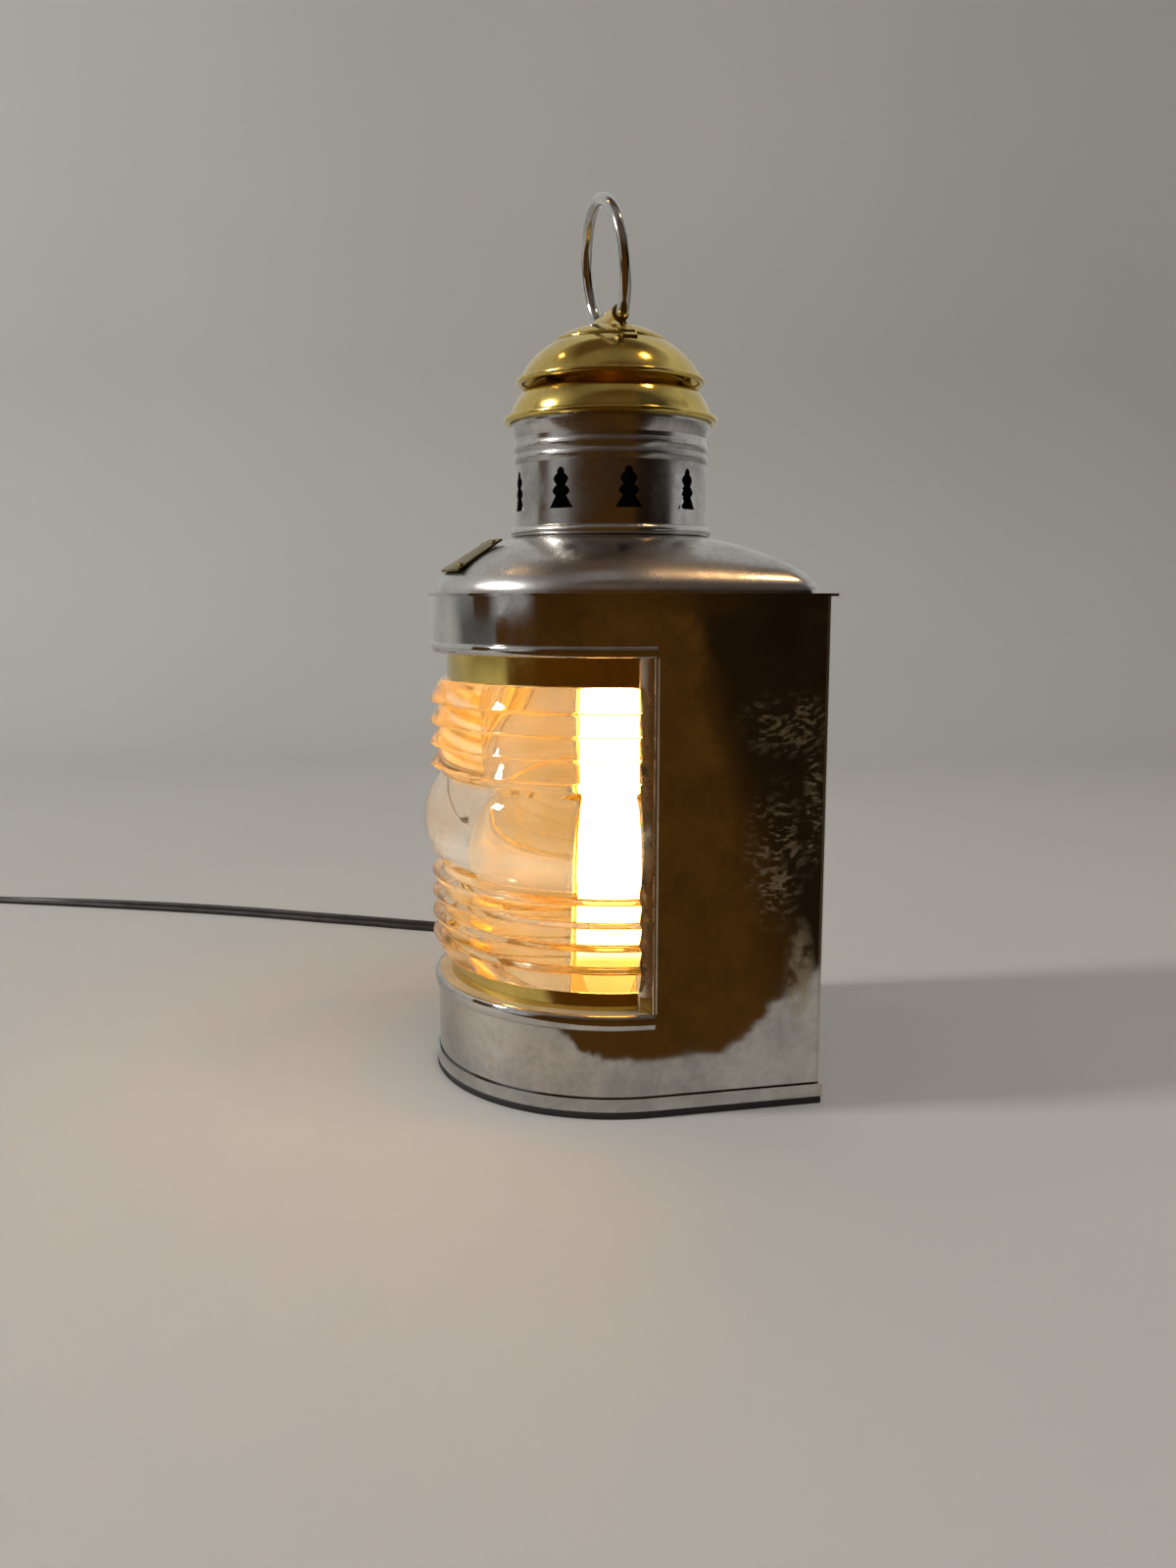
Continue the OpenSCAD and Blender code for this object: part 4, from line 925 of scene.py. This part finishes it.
# The plug's rows in millimetres: distance from the cord's end, half width and half height
PLUG_ROWS = ((0, 4.7, 3.2), (2, 4.9, 3.4), (6, 6.6, 4.6), (11, 9.8, 5.9), (14, 11.2, 6.4),
             (20, 11.5, 6.5), (26, 11.5, 6.5), (29, 11.3, 6.3), (30, 10.6, 5.6))


def cord_sizes(settings):
    """The cord's width and thickness and the coil's radius, in millimetres."""
    return settings.width / MM, settings.thickness / MM, settings.coil_radius / MM


def twin_section(settings, steps=10, web=0.96):
    """Outline of a flat cord: two round cores side by side, joined by a web."""
    w, t, _ = cord_sizes(settings)
    core = t / 2
    out = w / 2 - core
    waist = math.degrees(math.acos(min(out / core * web, 1)))
    points = []
    for side in (0, 180):
        for i in range(steps + 1):
            a = side - 180 + waist + (360 - 2 * waist) * i / steps
            points.append(out * heading(side) + core * heading(a))
    return points


def coil_line(settings, centre, first, each_turn=60):
    """The coil's line: it winds inward, climbs onto itself and winds outward again."""
    w, t, outer = cord_sizes(settings)
    low = COIL_LIFT + t / 2
    line = []
    steps = int(settings.turns * each_turn)
    for i in range(steps + 1):
        turn = settings.turns * i / steps
        rise = min(max((turn - settings.turns / 2) / COIL_CLIMB + 0.5, 0), 1)
        radius = outer - (w + COIL_GAP) * min(turn, settings.turns - turn)
        spot = centre + radius * heading(first + 360 * turn)
        line.append(Vector((*spot, low + (t + COIL_GAP) * rise * rise * (3 - 2 * rise))))
    return line


def cord_lines(settings, steps=4):
    """The cord's line and rolls up to the plug, the coil's centre and first angle, and the way out."""
    w, t, coil_r = cord_sizes(settings)
    lead, rolls = [CORD_START, CORD_START - Vector((w, 0, 0))], [0, 0]
    for x, y, lift, roll in CORD_ROUTE:
        half = (w - t) / 2 * math.sin(math.radians(roll)) + t / 2
        lead.append(Vector((x, y, lift + half)))
        rolls.append(roll)
    way = (lead[-1] - lead[-2]).to_2d().normalized()
    side = Vector((-way.y, way.x))
    centre = lead[-1].to_2d() + way * w + side * coil_r
    first = math.degrees(math.atan2(-side.y, -side.x))
    coil = coil_line(settings, centre, first)
    out = -way
    end = Vector((*(coil[-1].to_2d() + out * PLUG_LEAD), PLUG_H / 2))
    tail = [end - Vector((*out, 0)) * w, end]
    all_rolls = [v.x for v in smooth_line([(r, 0) for r in rolls], steps)]
    all_rolls += [0] * (len(coil) + len(tail))
    return smooth_line(lead, steps) + coil + tail, all_rolls, centre, first, out, end


class LANTERN_OT_cord(bpy.types.Operator):
    """Makes the flat cord with its coil, its tie and its plug"""

    bl_idname = "lantern.cord"
    bl_label = "Cord"

    def execute(self, context):
        settings = context.scene.lantern_cord
        finish = context.scene.lantern_finish
        sheath, brass = finish.cord, finish.brass
        line, rolls, centre, first, out, end = cord_lines(settings)
        pvc = new_material("cord_pvc", plain_matter, shade(sheath), shade(sheath, 1.7), 0.34, 2e-6)
        section = twin_section(settings)
        cord = swept("power_cord", laid(line, rolls), section, False, pvc, sharp=60)
        place(cord, "base", pvc, "cord_pvc", "lamp_cord", "cord_coil")
        tie = self.tie(settings, centre, first)
        place(tie, "base", pvc, "cord_pvc", "cord_tie")
        plug = self.plug(out, end)
        place(plug, "base", pvc, "cord_pvc", "plug_body")
        blades = self.blades(out, end)
        bright, dull = shade(brass), shade(brass, 0.8)
        metal = new_material("blade_brass", worn_metal, bright, dull, 0.2, 0.4, 2e-5, 1e-6)
        place(blades, "base", metal, "brass", "plug_blades")
        return {"FINISHED"}

    def tie(self, settings, centre, first, thick=0.6, gap=0.3, wide=8.0, corner=2.0):
        """A strap round the bundle, a quarter turn on from where the cord comes in."""
        w, t, coil_r = cord_sizes(settings)
        inner = coil_r - (w + COIL_GAP) * settings.turns / 2 - w / 2 - gap
        outer = coil_r + w / 2 + gap
        top = 2 * t + COIL_GAP + 2 * gap + thick
        hole = rounded(oblong(inner, thick, outer, top), corner - thick, steps=6)
        skin = rounded(oblong(inner - thick, 0, outer + thick, top + thick), corner, steps=6)
        u = heading(first + 90)
        v = Vector((-u.y, u.x)) * wide / 2
        rings = []
        for outline, side in ((skin, -1), (skin, 1), (hole, 1), (hole, -1)):
            rings.append([(*(centre + u * r + v * side), z) for r, z in outline])
        return piece("coil_tie", *bridged(rings, closed=True), sharp=40)

    def spot(self, out, end, along, across, up):
        """A spot on the plug, along its way out, across it and above its middle."""
        plan = end.to_2d() + out * along + Vector((-out.y, out.x)) * across
        return (*plan, end.z + up)

    def plug(self, out, end, soft=0.8):
        """A moulded plug that narrows to the cord."""
        rings = []
        for along, half_w, half_h in PLUG_ROWS:
            box = oblong(-half_w, -half_h, half_w, half_h)
            outline = rounded(box, min(half_w, half_h) * soft, steps=6)
            rings.append([self.spot(out, end, along, x, z) for x, z in outline])
        return piece("plug", *bridged(rings), sharp=50)

    def blades(self, out, end, long=15.9, half_h=3.17, half_t=0.75, half_gap=6.35, corner=1.2):
        """Two blades with round-cornered tips."""
        first = PLUG_ROWS[-1][0]
        outline = rounded(oblong(first, -half_h, first + long, half_h), corner)
        parts = []
        for side in (-1, 1):
            rings = []
            for face in (-half_t, half_t):
                across = side * half_gap + face
                rings.append([self.spot(out, end, along, across, z) for along, z in outline])
            parts.append(bridged(rings))
        return piece("plug_blades_pair", *joined(parts), sharp=40)


# The lead inside the body in millimetres, from the bushing's collar to the socket
LEAD_ROUTE = ((-61.5, 30, 17), (-56, 30, 17), (-48, 29, 17.5), (-40, 25.5, 18.5), (-32, 20, 19.5),
              (-16.89, 9.75, 19.95), (-12.12, 7, 19.95))
# The bushing's half outline: distance out from the lamp axis, and radius
BUSHING = ((61.5, 6.2), (61.8, 6.5), (64.2, 6.5), (64.5, 6.2), (64.5, 4.5), (67.5, 4.5))


class LANTERN_OT_base(bpy.types.Operator):
    """Makes the rubber pad, the bushing in the wall and the lead inside the body"""

    bl_idname = "lantern.base"
    bl_label = "Base"

    def execute(self, context):
        rubber, pvc = bpy.data.materials["pad_rubber"], bpy.data.materials["lead_pvc"]
        pad = piece("rubber_pad", *self.pad(), sharp=50)
        place(pad, "base", rubber, "rubber", "base_pad")
        bushing = piece("ribbed_bushing", *self.bushing(), sharp=40)
        place(bushing, "base", rubber, "rubber", "cord_bushing")
        line = smooth_line(LEAD_ROUTE, steps=6)
        section = twin_section(context.scene.lantern_cord)
        lead = swept("lamp_lead", laid(line, [90] * len(line)), section, False, pvc, sharp=60)
        place(lead, "base", pvc, "cord_pvc", "inner_lead")
        return {"FINISHED"}

    def pad(self, thick=2.7, grow=1.1, edge=0.5, corner=1.0):
        """A slab with softened edges."""
        rings = []
        for inset, z in ((edge, 0), (edge * 0.3, edge * 0.3), (0, edge), (0, thick - edge),
                         (edge * 0.3, thick - edge * 0.3), (edge, thick)):
            rings.append([(*p, z) for p in plan_outline(grow - inset, corner)])
        return bridged(rings)

    def bushing(self, relief=22.0, taper=1.0, grooves=6, depth=0.35, steps=48):
        """A collar, a barrel and a relief with grooves round it, along the cord's way out."""
        outline = list(BUSHING)
        barrel = BUSHING[-1][1]
        for i in range(1, steps + 1):
            share = i / steps
            cut = depth * (0.5 - 0.5 * math.cos(2 * math.pi * grooves * share))
            outline.append((BODY_R + relief * share, barrel - taper * share - cut))
        rings = []
        for x, r in outline:
            rings.append([(-x, *p) for p in circle(CORD_START.yz, r, steps=32)])
        return bridged(rings)


# The mast bracket in millimetres: thickness of its flanges, and its rivets' places across and up
FLANGE = 1.2
BRACKET_RIVETS = ((-28.1, 123), (-28.1, 143), (28.1, 123), (28.1, 143))
# The name plate in millimetres: radii of its edges on the dome, width, rivets' inset, height of its face
NAME_RADII = (63.1, 45.5)
NAME_W = 36.0
NAME_INSET = 2.6
NAME_LIFT = 2.08


class LANTERN_OT_rivets(bpy.types.Operator):
    """Sets the rivets of the name plate and of the mast bracket"""

    bl_idname = "lantern.rivets"
    bl_label = "Rivets"

    def execute(self, context):
        steel, brass = bpy.data.materials["body_steel"], bpy.data.materials["aged_brass"]
        heads = self.heads("bracket_rivet_heads", self.bracket_seats(), steel, diameter=5, height=1.5)
        place(heads, "housing", steel, "steel", "bracket_rivets")
        heads = self.heads("plate_rivet_heads", self.plate_seats(), brass, diameter=2.6, height=0.78)
        place(heads, "housing", brass, "brass", "name_rivets")
        return {"FINISHED"}

    def heads(self, name, seats, material, diameter, height, shank=1.2):
        """Rivets on seats, as one piece, by the sizes of a rivet in millimetres."""
        spots, turns = zip(*seats)
        tree = bpy.data.node_groups.get("rivets") or rivet_tree()
        return grown(loose(name, spots, turn=turns), tree, material, {
            "Head diameter": diameter * MM, "Head height": height * MM, "Shank length": shank * MM})

    def bracket_seats(self):
        """Seats on the bracket's flanges, facing back."""
        return [((x, SIDE_L + FLANGE, z), (-math.pi / 2, 0, 0)) for x, z in BRACKET_RIVETS]

    def plate_seats(self):
        """Seats at the name plate's corners, square to the plate."""
        low, high = (Vector(dome_front(r)) for r in NAME_RADII)
        slope = (high - low).normalized()
        out = Vector((slope.y, -slope.x))
        half = math.degrees(NAME_W / sum(NAME_RADII))
        seats = []
        for spot in (low + slope * NAME_INSET, high - slope * NAME_INSET):
            seat = spot + out * NAME_LIFT
            for side in (-1, 1):
                turn = -90 + side * (half - math.degrees(NAME_INSET / spot.x))
                plan = seat.x * heading(turn)
                seats.append(((*plan, seat.y), (0, math.atan2(out.x, out.y), math.radians(turn))))
        return seats


# The lens in millimetres: gap to sill and head, height of the ledges at its ends, and radii round it
LENS_GAP = 1.2
LEDGE_LOW = 7.0
LEDGE_HIGH = 10.0
LEDGE_R = 61.5
VALLEY_R = 64.8
RIB_R = 69.5
BELT_R = 72.0
# From the belt to the tip of the first rib, and from each tip back to its valley on the steep side
FIRST_RIB = 3.4
RIB_EDGE = 0.7


class LANTERN_OT_lens(bpy.types.Operator):
    """Makes the ribbed glass"""

    bl_idname = "lantern.lens"
    bl_label = "Lens"

    def execute(self, context):
        finish = context.scene.lantern_finish
        clean, grimy = shade(finish.glass), shade(finish.grime)
        glass = new_material("lens_glass", clear_glass, clean, grimy, 8e-6, 0.055)
        outline = self.outline(context.scene.lantern_lens)
        lens = turned("ribbed_lens", [outline], glass, steps=220, half=LENS_HALF, sharp=50)
        place(lens, "housing", glass, "lens_glass", "lens")
        return {"FINISHED"}

    def outline(self, settings, soft=0.7, steps=4):
        """Radius and height round the glass: a ledge, ribs, the belt, ribs and a ledge."""
        low, high = SILL_Z + LENS_GAP, HEAD_Z - LENS_GAP
        rib_low, rib_high = SILL_Z + LEDGE_LOW, HEAD_Z - LEDGE_HIGH
        ribs = []
        for k in range(settings.ribs):
            h = BELT_HALF + FIRST_RIB + k * settings.pitch / MM
            ribs += [(VALLEY_R, h - RIB_EDGE), (RIB_R, h)]
        before = [(LEDGE_R, low), (LEDGE_R, rib_low), (VALLEY_R, rib_low)]
        before += [(r, BELT_Z - h) for r, h in reversed(ribs)]
        foot, head = (VALLEY_R, BELT_Z - BELT_HALF), (VALLEY_R, BELT_Z + BELT_HALF)
        belt = arc(foot, head, bulge=BELT_R - VALLEY_R, steps=32)
        after = [(r, BELT_Z + h) for r, h in ribs]
        after += [(VALLEY_R, rib_high), (LEDGE_R, rib_high), (LEDGE_R, high)]
        inside = [(LENS_IN_R, high), (LENS_IN_R, low)]
        each = steps + 1
        lower = rounded([*before, *belt[:2], inside[1]], soft, steps)[each : each * (len(before) + 1)]
        upper = rounded([*belt[-2:], *after, inside[0]], soft, steps)[each : each * (len(after) + 2)]
        return [before[0], *lower, *belt[2:-2], *upper, *inside]


class LANTERN_OT_window(bpy.types.Operator):
    """Makes the beaded sill and head of the window and its jambs"""

    bl_idname = "lantern.window"
    bl_label = "Window"

    def execute(self, context):
        # The jambs take a steel tinted warm with painted lamplight from the bulb
        steel, bright = bpy.data.materials["body_steel"], bpy.data.materials["jamb_steel"]
        for name, node, shelf, low, height, out in (
            ("beaded_sill", "window_sill", SILL_Z - SHEET, SILL_Z - 5.5, 5.5, 1.4),
            ("beaded_head", "window_head", HEAD_Z, HEAD_Z, 4.0, 1.1),
        ):
            edge = rounded(oblong(LENS_IN_R, shelf, BODY_R, shelf + SHEET), radius=0.15, steps=2)
            outlines = [bead(low, height, BEAD_R, out), edge]
            frame = turned(name, outlines, steel, steps=160, half=90)
            place(frame, "housing", steel, "steel", node)
        for name, node, side in (("curved_jamb_port", "jamb_port", 1),
                                 ("curved_jamb_starboard", "jamb_starboard", -1)):
            parts = []
            for outline in (self.jamb(), self.rolled_edge()):
                rings = [[(side * x, y, z) for x, y in outline] for z in (SILL_Z, HEAD_Z)]
                parts.append(bridged(rings))
            place(piece(name, *joined(parts)), "housing", bright, "steel", node)
        return {"FINISHED"}

    def jamb(self, leg=8.0, gap=0.2, bulge=0.5):
        """Outline of the port jamb: a leg inside the wall, a rounded face, and a turn in to the glass."""
        end = heading(LENS_HALF - 90)
        behind = Vector((-end.y, end.x)) * gap
        wall = BODY_R - SHEET
        line = [Vector((wall, leg))]
        line += arc((wall, 0), end * JAMB_REACH + behind, -bulge, steps=12)
        line.append(end * LENS_IN_R + behind)
        return strip(line, SHEET)

    def rolled_edge(self, half=0.9, out=0.8):
        """Outline of the rolled edge at the window's port side."""
        return bead(-half, 2 * half, BEAD_R, out, steps=10)


class LANTERN_OT_shoulder(bpy.types.Operator):
    """Makes the domed shoulder and the ring round the chimney's foot"""

    bl_idname = "lantern.shoulder"
    bl_label = "Shoulder"

    def execute(self, context):
        steel = bpy.data.materials["dome_steel"]
        dome = piece("domed_shoulder", *self.dome(), sharp=50)
        place(dome, "housing", steel, "steel", "shoulder_dome")
        ring = turned("foot_ring", [bead(NECK_Z, height=4, radius=CHIMNEY_R, out=2.2)], steel)
        place(ring, "housing", steel, "steel", "neck_ring")
        return {"FINISHED"}

    def dome(self, levels=28, around=288):
        """The dome's sheet from its foot to its neck, with a lip that turns in over the chimney's hole."""
        turns = [360 * j / around for j in range(around)]
        spans = [plan_reach(turn, DOME_FOOT_R - BODY_R, DOME_CORNER) - DOME_NECK_R for turn in turns]
        outer, inner = [], []
        for i in range(levels + 1):
            a = math.pi / 2 * i / levels
            slope = DOME_ROUND * math.cos(a) + (1 - DOME_ROUND) * math.sin(a)
            normal = Vector((DOME_H * slope, (DOME_FOOT_R - DOME_NECK_R) * math.sin(a))).normalized()
            for rings, depth in ((outer, 0), (inner, SHEET)):
                z = DOME_Z + dome_rise(a) - depth * normal.y
                ring = []
                for turn, span in zip(turns, spans):
                    r = DOME_NECK_R + math.cos(a) * span - depth * normal.x
                    ring.append((*(r * heading(turn)), z))
                rings.append(ring)
        lip = []
        for z in (NECK_Z, NECK_Z - SHEET):
            lip.append([(*p, z) for p in circle((0, 0), CHIMNEY_HOLE_R, around)])
        return bridged([*outer, *lip, *reversed(inner)], closed=True)


class LANTERN_OT_cap(bpy.types.Operator):
    """Makes the brass skirt and cap over the chimney and the stays between them"""

    bl_idname = "lantern.cap"
    bl_label = "Cap"

    def execute(self, context):
        brass = bpy.data.materials["cap_brass"]
        skirt = turned("spun_skirt", self.skirt(), brass, sharp=60)
        place(skirt, "housing", brass, "brass", "vent_skirt")
        cap = turned("spun_cap", self.cap(), brass, sharp=60)
        place(cap, "housing", brass, "brass", "vent_cap")
        stay = piece("cap_stay_set", *self.stay())
        grown(stay, round_tree(), brass, {"Count": 3, "First turn": math.radians(60)})
        place(stay, "housing", brass, "brass", "cap_stays")
        return {"FINISHED"}

    def skirt(self, foot=37.6, top=28.0, height=14.0, bulge=1.9, rim=38.7, roll=1.3):
        """Outlines of the skirt: its side, its seat on the chimney and its rolled rim."""
        side = arc((foot, SEAT_Z + BRASS), (top, SEAT_Z + height), bulge, steps=28)
        seat = oblong(CHIMNEY_HOLE_R, SEAT_Z, rim, SEAT_Z + BRASS)
        return [strip(side, -BRASS), seat, circle((rim, SEAT_Z), roll)]

    def cap(self, rim=34.1, step=20.9, crown=9.0, step_up=14.3, step_h=0.6, roll=1.1):
        """Outlines of the cap: a dome, a small step and a flat crown, and the rolled rim."""
        step_z = CAP_RIM_Z + step_up
        over = arc((rim, CAP_RIM_Z + roll / 2), (step, step_z), bulge=1.65, steps=24)
        over += arc((step, step_z + step_h), (crown, CROWN_Z), bulge=1.0, steps=18)
        middle = [Vector((0, CROWN_Z)), Vector((0, CROWN_Z - BRASS))]
        return [over + middle + beside(over, -BRASS)[::-1], circle((rim, CAP_RIM_Z), roll)]

    def stay(self, inner=29.2, outer=30.0, half_w=3.0, soft=0.3):
        """One flat stay between skirt and cap."""
        outline = rounded(oblong(inner, -half_w, outer, half_w), soft)
        return bridged([[(*p, z) for p in outline] for z in (STAY_LOW_Z, STAY_HIGH_Z)])


class LANTERN_OT_ring(bpy.types.Operator):
    """Makes the carrying ring"""

    bl_idname = "lantern.ring"
    bl_label = "Ring"

    def execute(self, context):
        steel = bpy.data.materials["ring_steel"]
        wire = circle((0, 0), radius=2.38, steps=20)
        ring = swept("wire_ring", self.rows(), wire, True, steel, sharp=60)
        place(ring, "ring", steel, "steel", "carry_ring")
        return {"FINISHED"}

    def line(self, radius, drop, bend, big=96, small=12):
        """Points round a ring with a straight run below, its corners turned on a small radius."""
        low = bend - drop
        reach = math.sqrt((radius - bend) ** 2 - low ** 2)
        angle = math.degrees(math.atan2(low, reach))
        left, right = Vector((-reach, low)), Vector((reach, low))
        turn = 90 + angle
        line = [radius * heading(angle + (180 - 2 * angle) * i / big) for i in range(big + 1)]
        line += [left + bend * heading(180 - angle + turn * i / small) for i in range(1, small + 1)]
        line += [Vector((-reach + 2 * reach * i / small, -drop)) for i in range(1, small)]
        line += [right + bend * heading(-90 + turn * i / small) for i in range(small)]
        return line

    def rows(self, radius=23.5, drop=17.8, bend=3.2, lean=7.0):
        """Rows along the ring, which leans in its lug."""
        line = self.line(radius, drop, bend)
        level = heading(RING_TURN).to_3d()
        front = Vector((level.y, -level.x, 0))
        up = Vector((0, 0, 1))
        c, s = heading(lean)
        rise = front * s + up * c
        off = front * c - up * s
        rows = []
        for i, spot in enumerate(line):
            along = (line[(i + 1) % len(line)] - line[i - 1]).normalized()
            side = level * along.y - rise * along.x
            rows.append((up * BARREL_Z + level * spot.x + rise * (spot.y + drop), side, off))
        return rows


class LANTERN_OT_bulb(bpy.types.Operator):
    """Makes the lit tubular bulb"""

    bl_idname = "lantern.bulb"
    bl_label = "Bulb"

    def execute(self, context):
        light = shade(context.scene.lantern_finish.light)
        glow = new_material("bulb_glass", lit_glass, light, context.scene.lantern_lens.glow)
        bulb = turned("tube_bulb", [self.outline()], glow, steps=96)
        place(bulb, "base", glow, "bulb_glass", "bulb_glass")
        return {"FINISHED"}

    def outline(self, base=46.3, top=148.3, r=12.5, neck=5.15, stem=8, foot=10, fillet=0.6, wall=0.8):
        """Radius and height round the glass: a stem in the base, a curved foot, a tube and a round top."""
        line = [Vector((neck, base - stem)), Vector((neck, base))]
        line += arc((neck + fillet, base), (r, base + foot), bulge=1.5, steps=12)
        line += [Vector((0, top - r)) + r * heading(a) for a in range(5, 86, 5)]
        return line + [Vector((0, top)), Vector((0, top - wall))] + beside(line, -wall)[::-1]


class LANTERN_OT_finishes(bpy.types.Operator):
    """Makes the finishes and gives the CAD pieces that stay in sight theirs"""

    bl_idname = "lantern.finishes"
    bl_label = "Finishes"

    def execute(self, context):
        finish = context.scene.lantern_finish
        self.metals(finish.steel, finish.brass)
        self.matters(finish.cord)
        kept = {
            "body_steel": ("body_shell", "base_pan", "top_plate", "lamp_bracket", "bracket_screws",
                           "mast_bracket"),
            "chimney_steel": ("chimney",),
            "soot": ("inner_flue",),
            "cap_brass": ("ring_lug",),
            "band_brass": ("lens_band_lower", "lens_band_upper", "band_tabs", "socket_stud", "stud_nut",
                           "socket_liner", "bulb_base"),
            "aged_brass": ("name_plate",),
            "phenolic": ("socket_shell",),
            "putty": ("lens_seal_lower", "lens_seal_upper"),
            "filament_wire": ("bulb_filament",),
        }
        for material, nodes in kept.items():
            for node in nodes:
                mesh = bpy.data.objects[node].data
                mesh.materials.clear()
                mesh.materials.append(bpy.data.materials[material])
        return {"FINISHED"}

    def metals(self, steel, brass):
        """Metals: bright and dull colour, least and most roughness, depth of waves and grain in metres."""
        bright, dull = shade(steel), shade(steel, 0.67)
        gold, tarnished = shade(brass), shade(brass, 0.74)
        # pale and tan: the jambs' steel, tinted warm with painted lamplight from the bulb
        pale, tan = (0.8, 0.7, 0.55, 1), (0.6, 0.5, 0.36, 1)
        for name, surface, *wear in (
            ("body_steel", body_metal, bright, dull, 0.03, 0.12, 1.2e-4, 1e-6),
            ("dome_steel", worn_metal, bright, dull, 0.16, 0.36, 2e-4, 2e-6),
            ("chimney_steel", sooty_metal, shade(steel, 0.84), shade(steel, 0.5), 0.16, 0.36, 2e-4, 2e-6),
            ("jamb_steel", worn_metal, pale, tan, 0.22, 0.4, 4e-5, 1e-6),
            ("ring_steel", worn_metal, shade(steel, 0.96), dull, 0.08, 0.2, 2e-5, 1e-6),
            ("cap_brass", worn_metal, gold, tarnished, 0.09, 0.2, 6e-5, 1e-6),
            ("band_brass", worn_metal, gold, tarnished, 0.08, 0.2, 6e-5, 1e-6),
            ("aged_brass", worn_metal, shade(brass, 0.39), shade(brass, 0.16), 0.3, 0.5, 6e-5, 4e-6),
            ("filament_wire", worn_metal, bright, dull, 0.2, 0.4, 2e-5, 1e-6),
        ):
            new_material(name, surface, *wear)

    def matters(self, sheath):
        """Rubber, plastics, putty and soot: two colours, roughness, and depth of grain in metres."""
        for name, *look in (
            ("pad_rubber", (0.01, 0.01, 0.01, 1), (0.02, 0.018, 0.016, 1), 0.7, 4e-6),
            ("phenolic", (0.012, 0.011, 0.01, 1), (0.02, 0.018, 0.016, 1), 0.45, 2e-6),
            ("lead_pvc", shade(sheath), shade(sheath, 1.7), 0.4, 2e-6),
            ("putty", (0.5, 0.45, 0.36, 1), (0.42, 0.37, 0.28, 1), 0.8, 1e-5),
            ("soot", (0.006, 0.005, 0.004, 1), (0.012, 0.009, 0.007, 1), 0.85, 1e-5),
        ):
            new_material(name, plain_matter, *look)


class LANTERN_PT_panel(bpy.types.Panel):
    """Sidebar panel of the lantern"""

    bl_idname = "LANTERN_PT_panel"
    bl_label = "Lantern"
    bl_space_type = "VIEW_3D"
    bl_region_type = "UI"
    bl_category = "Lantern"

    def draw(self, context):
        for group in SETTINGS:
            settings = getattr(context.scene, group)
            box = self.layout.box()
            for name in settings.bl_rna.properties.keys():
                if name not in ("rna_type", "name"):
                    box.prop(settings, name)
        for operator in OPERATORS:
            self.layout.operator(operator.bl_idname)


OPERATORS = (
    LANTERN_OT_stage,
    LANTERN_OT_cord,
    LANTERN_OT_finishes,
    LANTERN_OT_base,
    LANTERN_OT_rivets,
    LANTERN_OT_lens,
    LANTERN_OT_window,
    LANTERN_OT_shoulder,
    LANTERN_OT_cap,
    LANTERN_OT_ring,
    LANTERN_OT_bulb,
)
SETTINGS = {
    "lantern_finish": LanternFinishSettings,
    "lantern_lens": LanternLensSettings,
    "lantern_cord": LanternCordSettings,
    "lantern_stage": LanternStageSettings,
}


def register():
    """Registers the settings, the operators and the panel."""
    for name, group in SETTINGS.items():
        bpy.utils.register_class(group)
        setattr(bpy.types.Scene, name, bpy.props.PointerProperty(type=group))
    for cls in (*OPERATORS, LANTERN_PT_panel):
        bpy.utils.register_class(cls)


def unregister():
    """Takes them out again."""
    for cls in (LANTERN_PT_panel, *reversed(OPERATORS)):
        bpy.utils.unregister_class(cls)
    for name, group in SETTINGS.items():
        delattr(bpy.types.Scene, name)
        bpy.utils.unregister_class(group)


def main():
    """Builds the lantern on its frame."""
    register()
    bpy.ops.lantern.stage()
    bpy.ops.lantern.cord()
    bpy.ops.lantern.finishes()
    bpy.ops.lantern.base()
    bpy.ops.lantern.rivets()
    bpy.ops.lantern.lens()
    bpy.ops.lantern.window()
    bpy.ops.lantern.shoulder()
    bpy.ops.lantern.cap()
    bpy.ops.lantern.ring()
    bpy.ops.lantern.bulb()


if __name__ == "__main__":
    main()
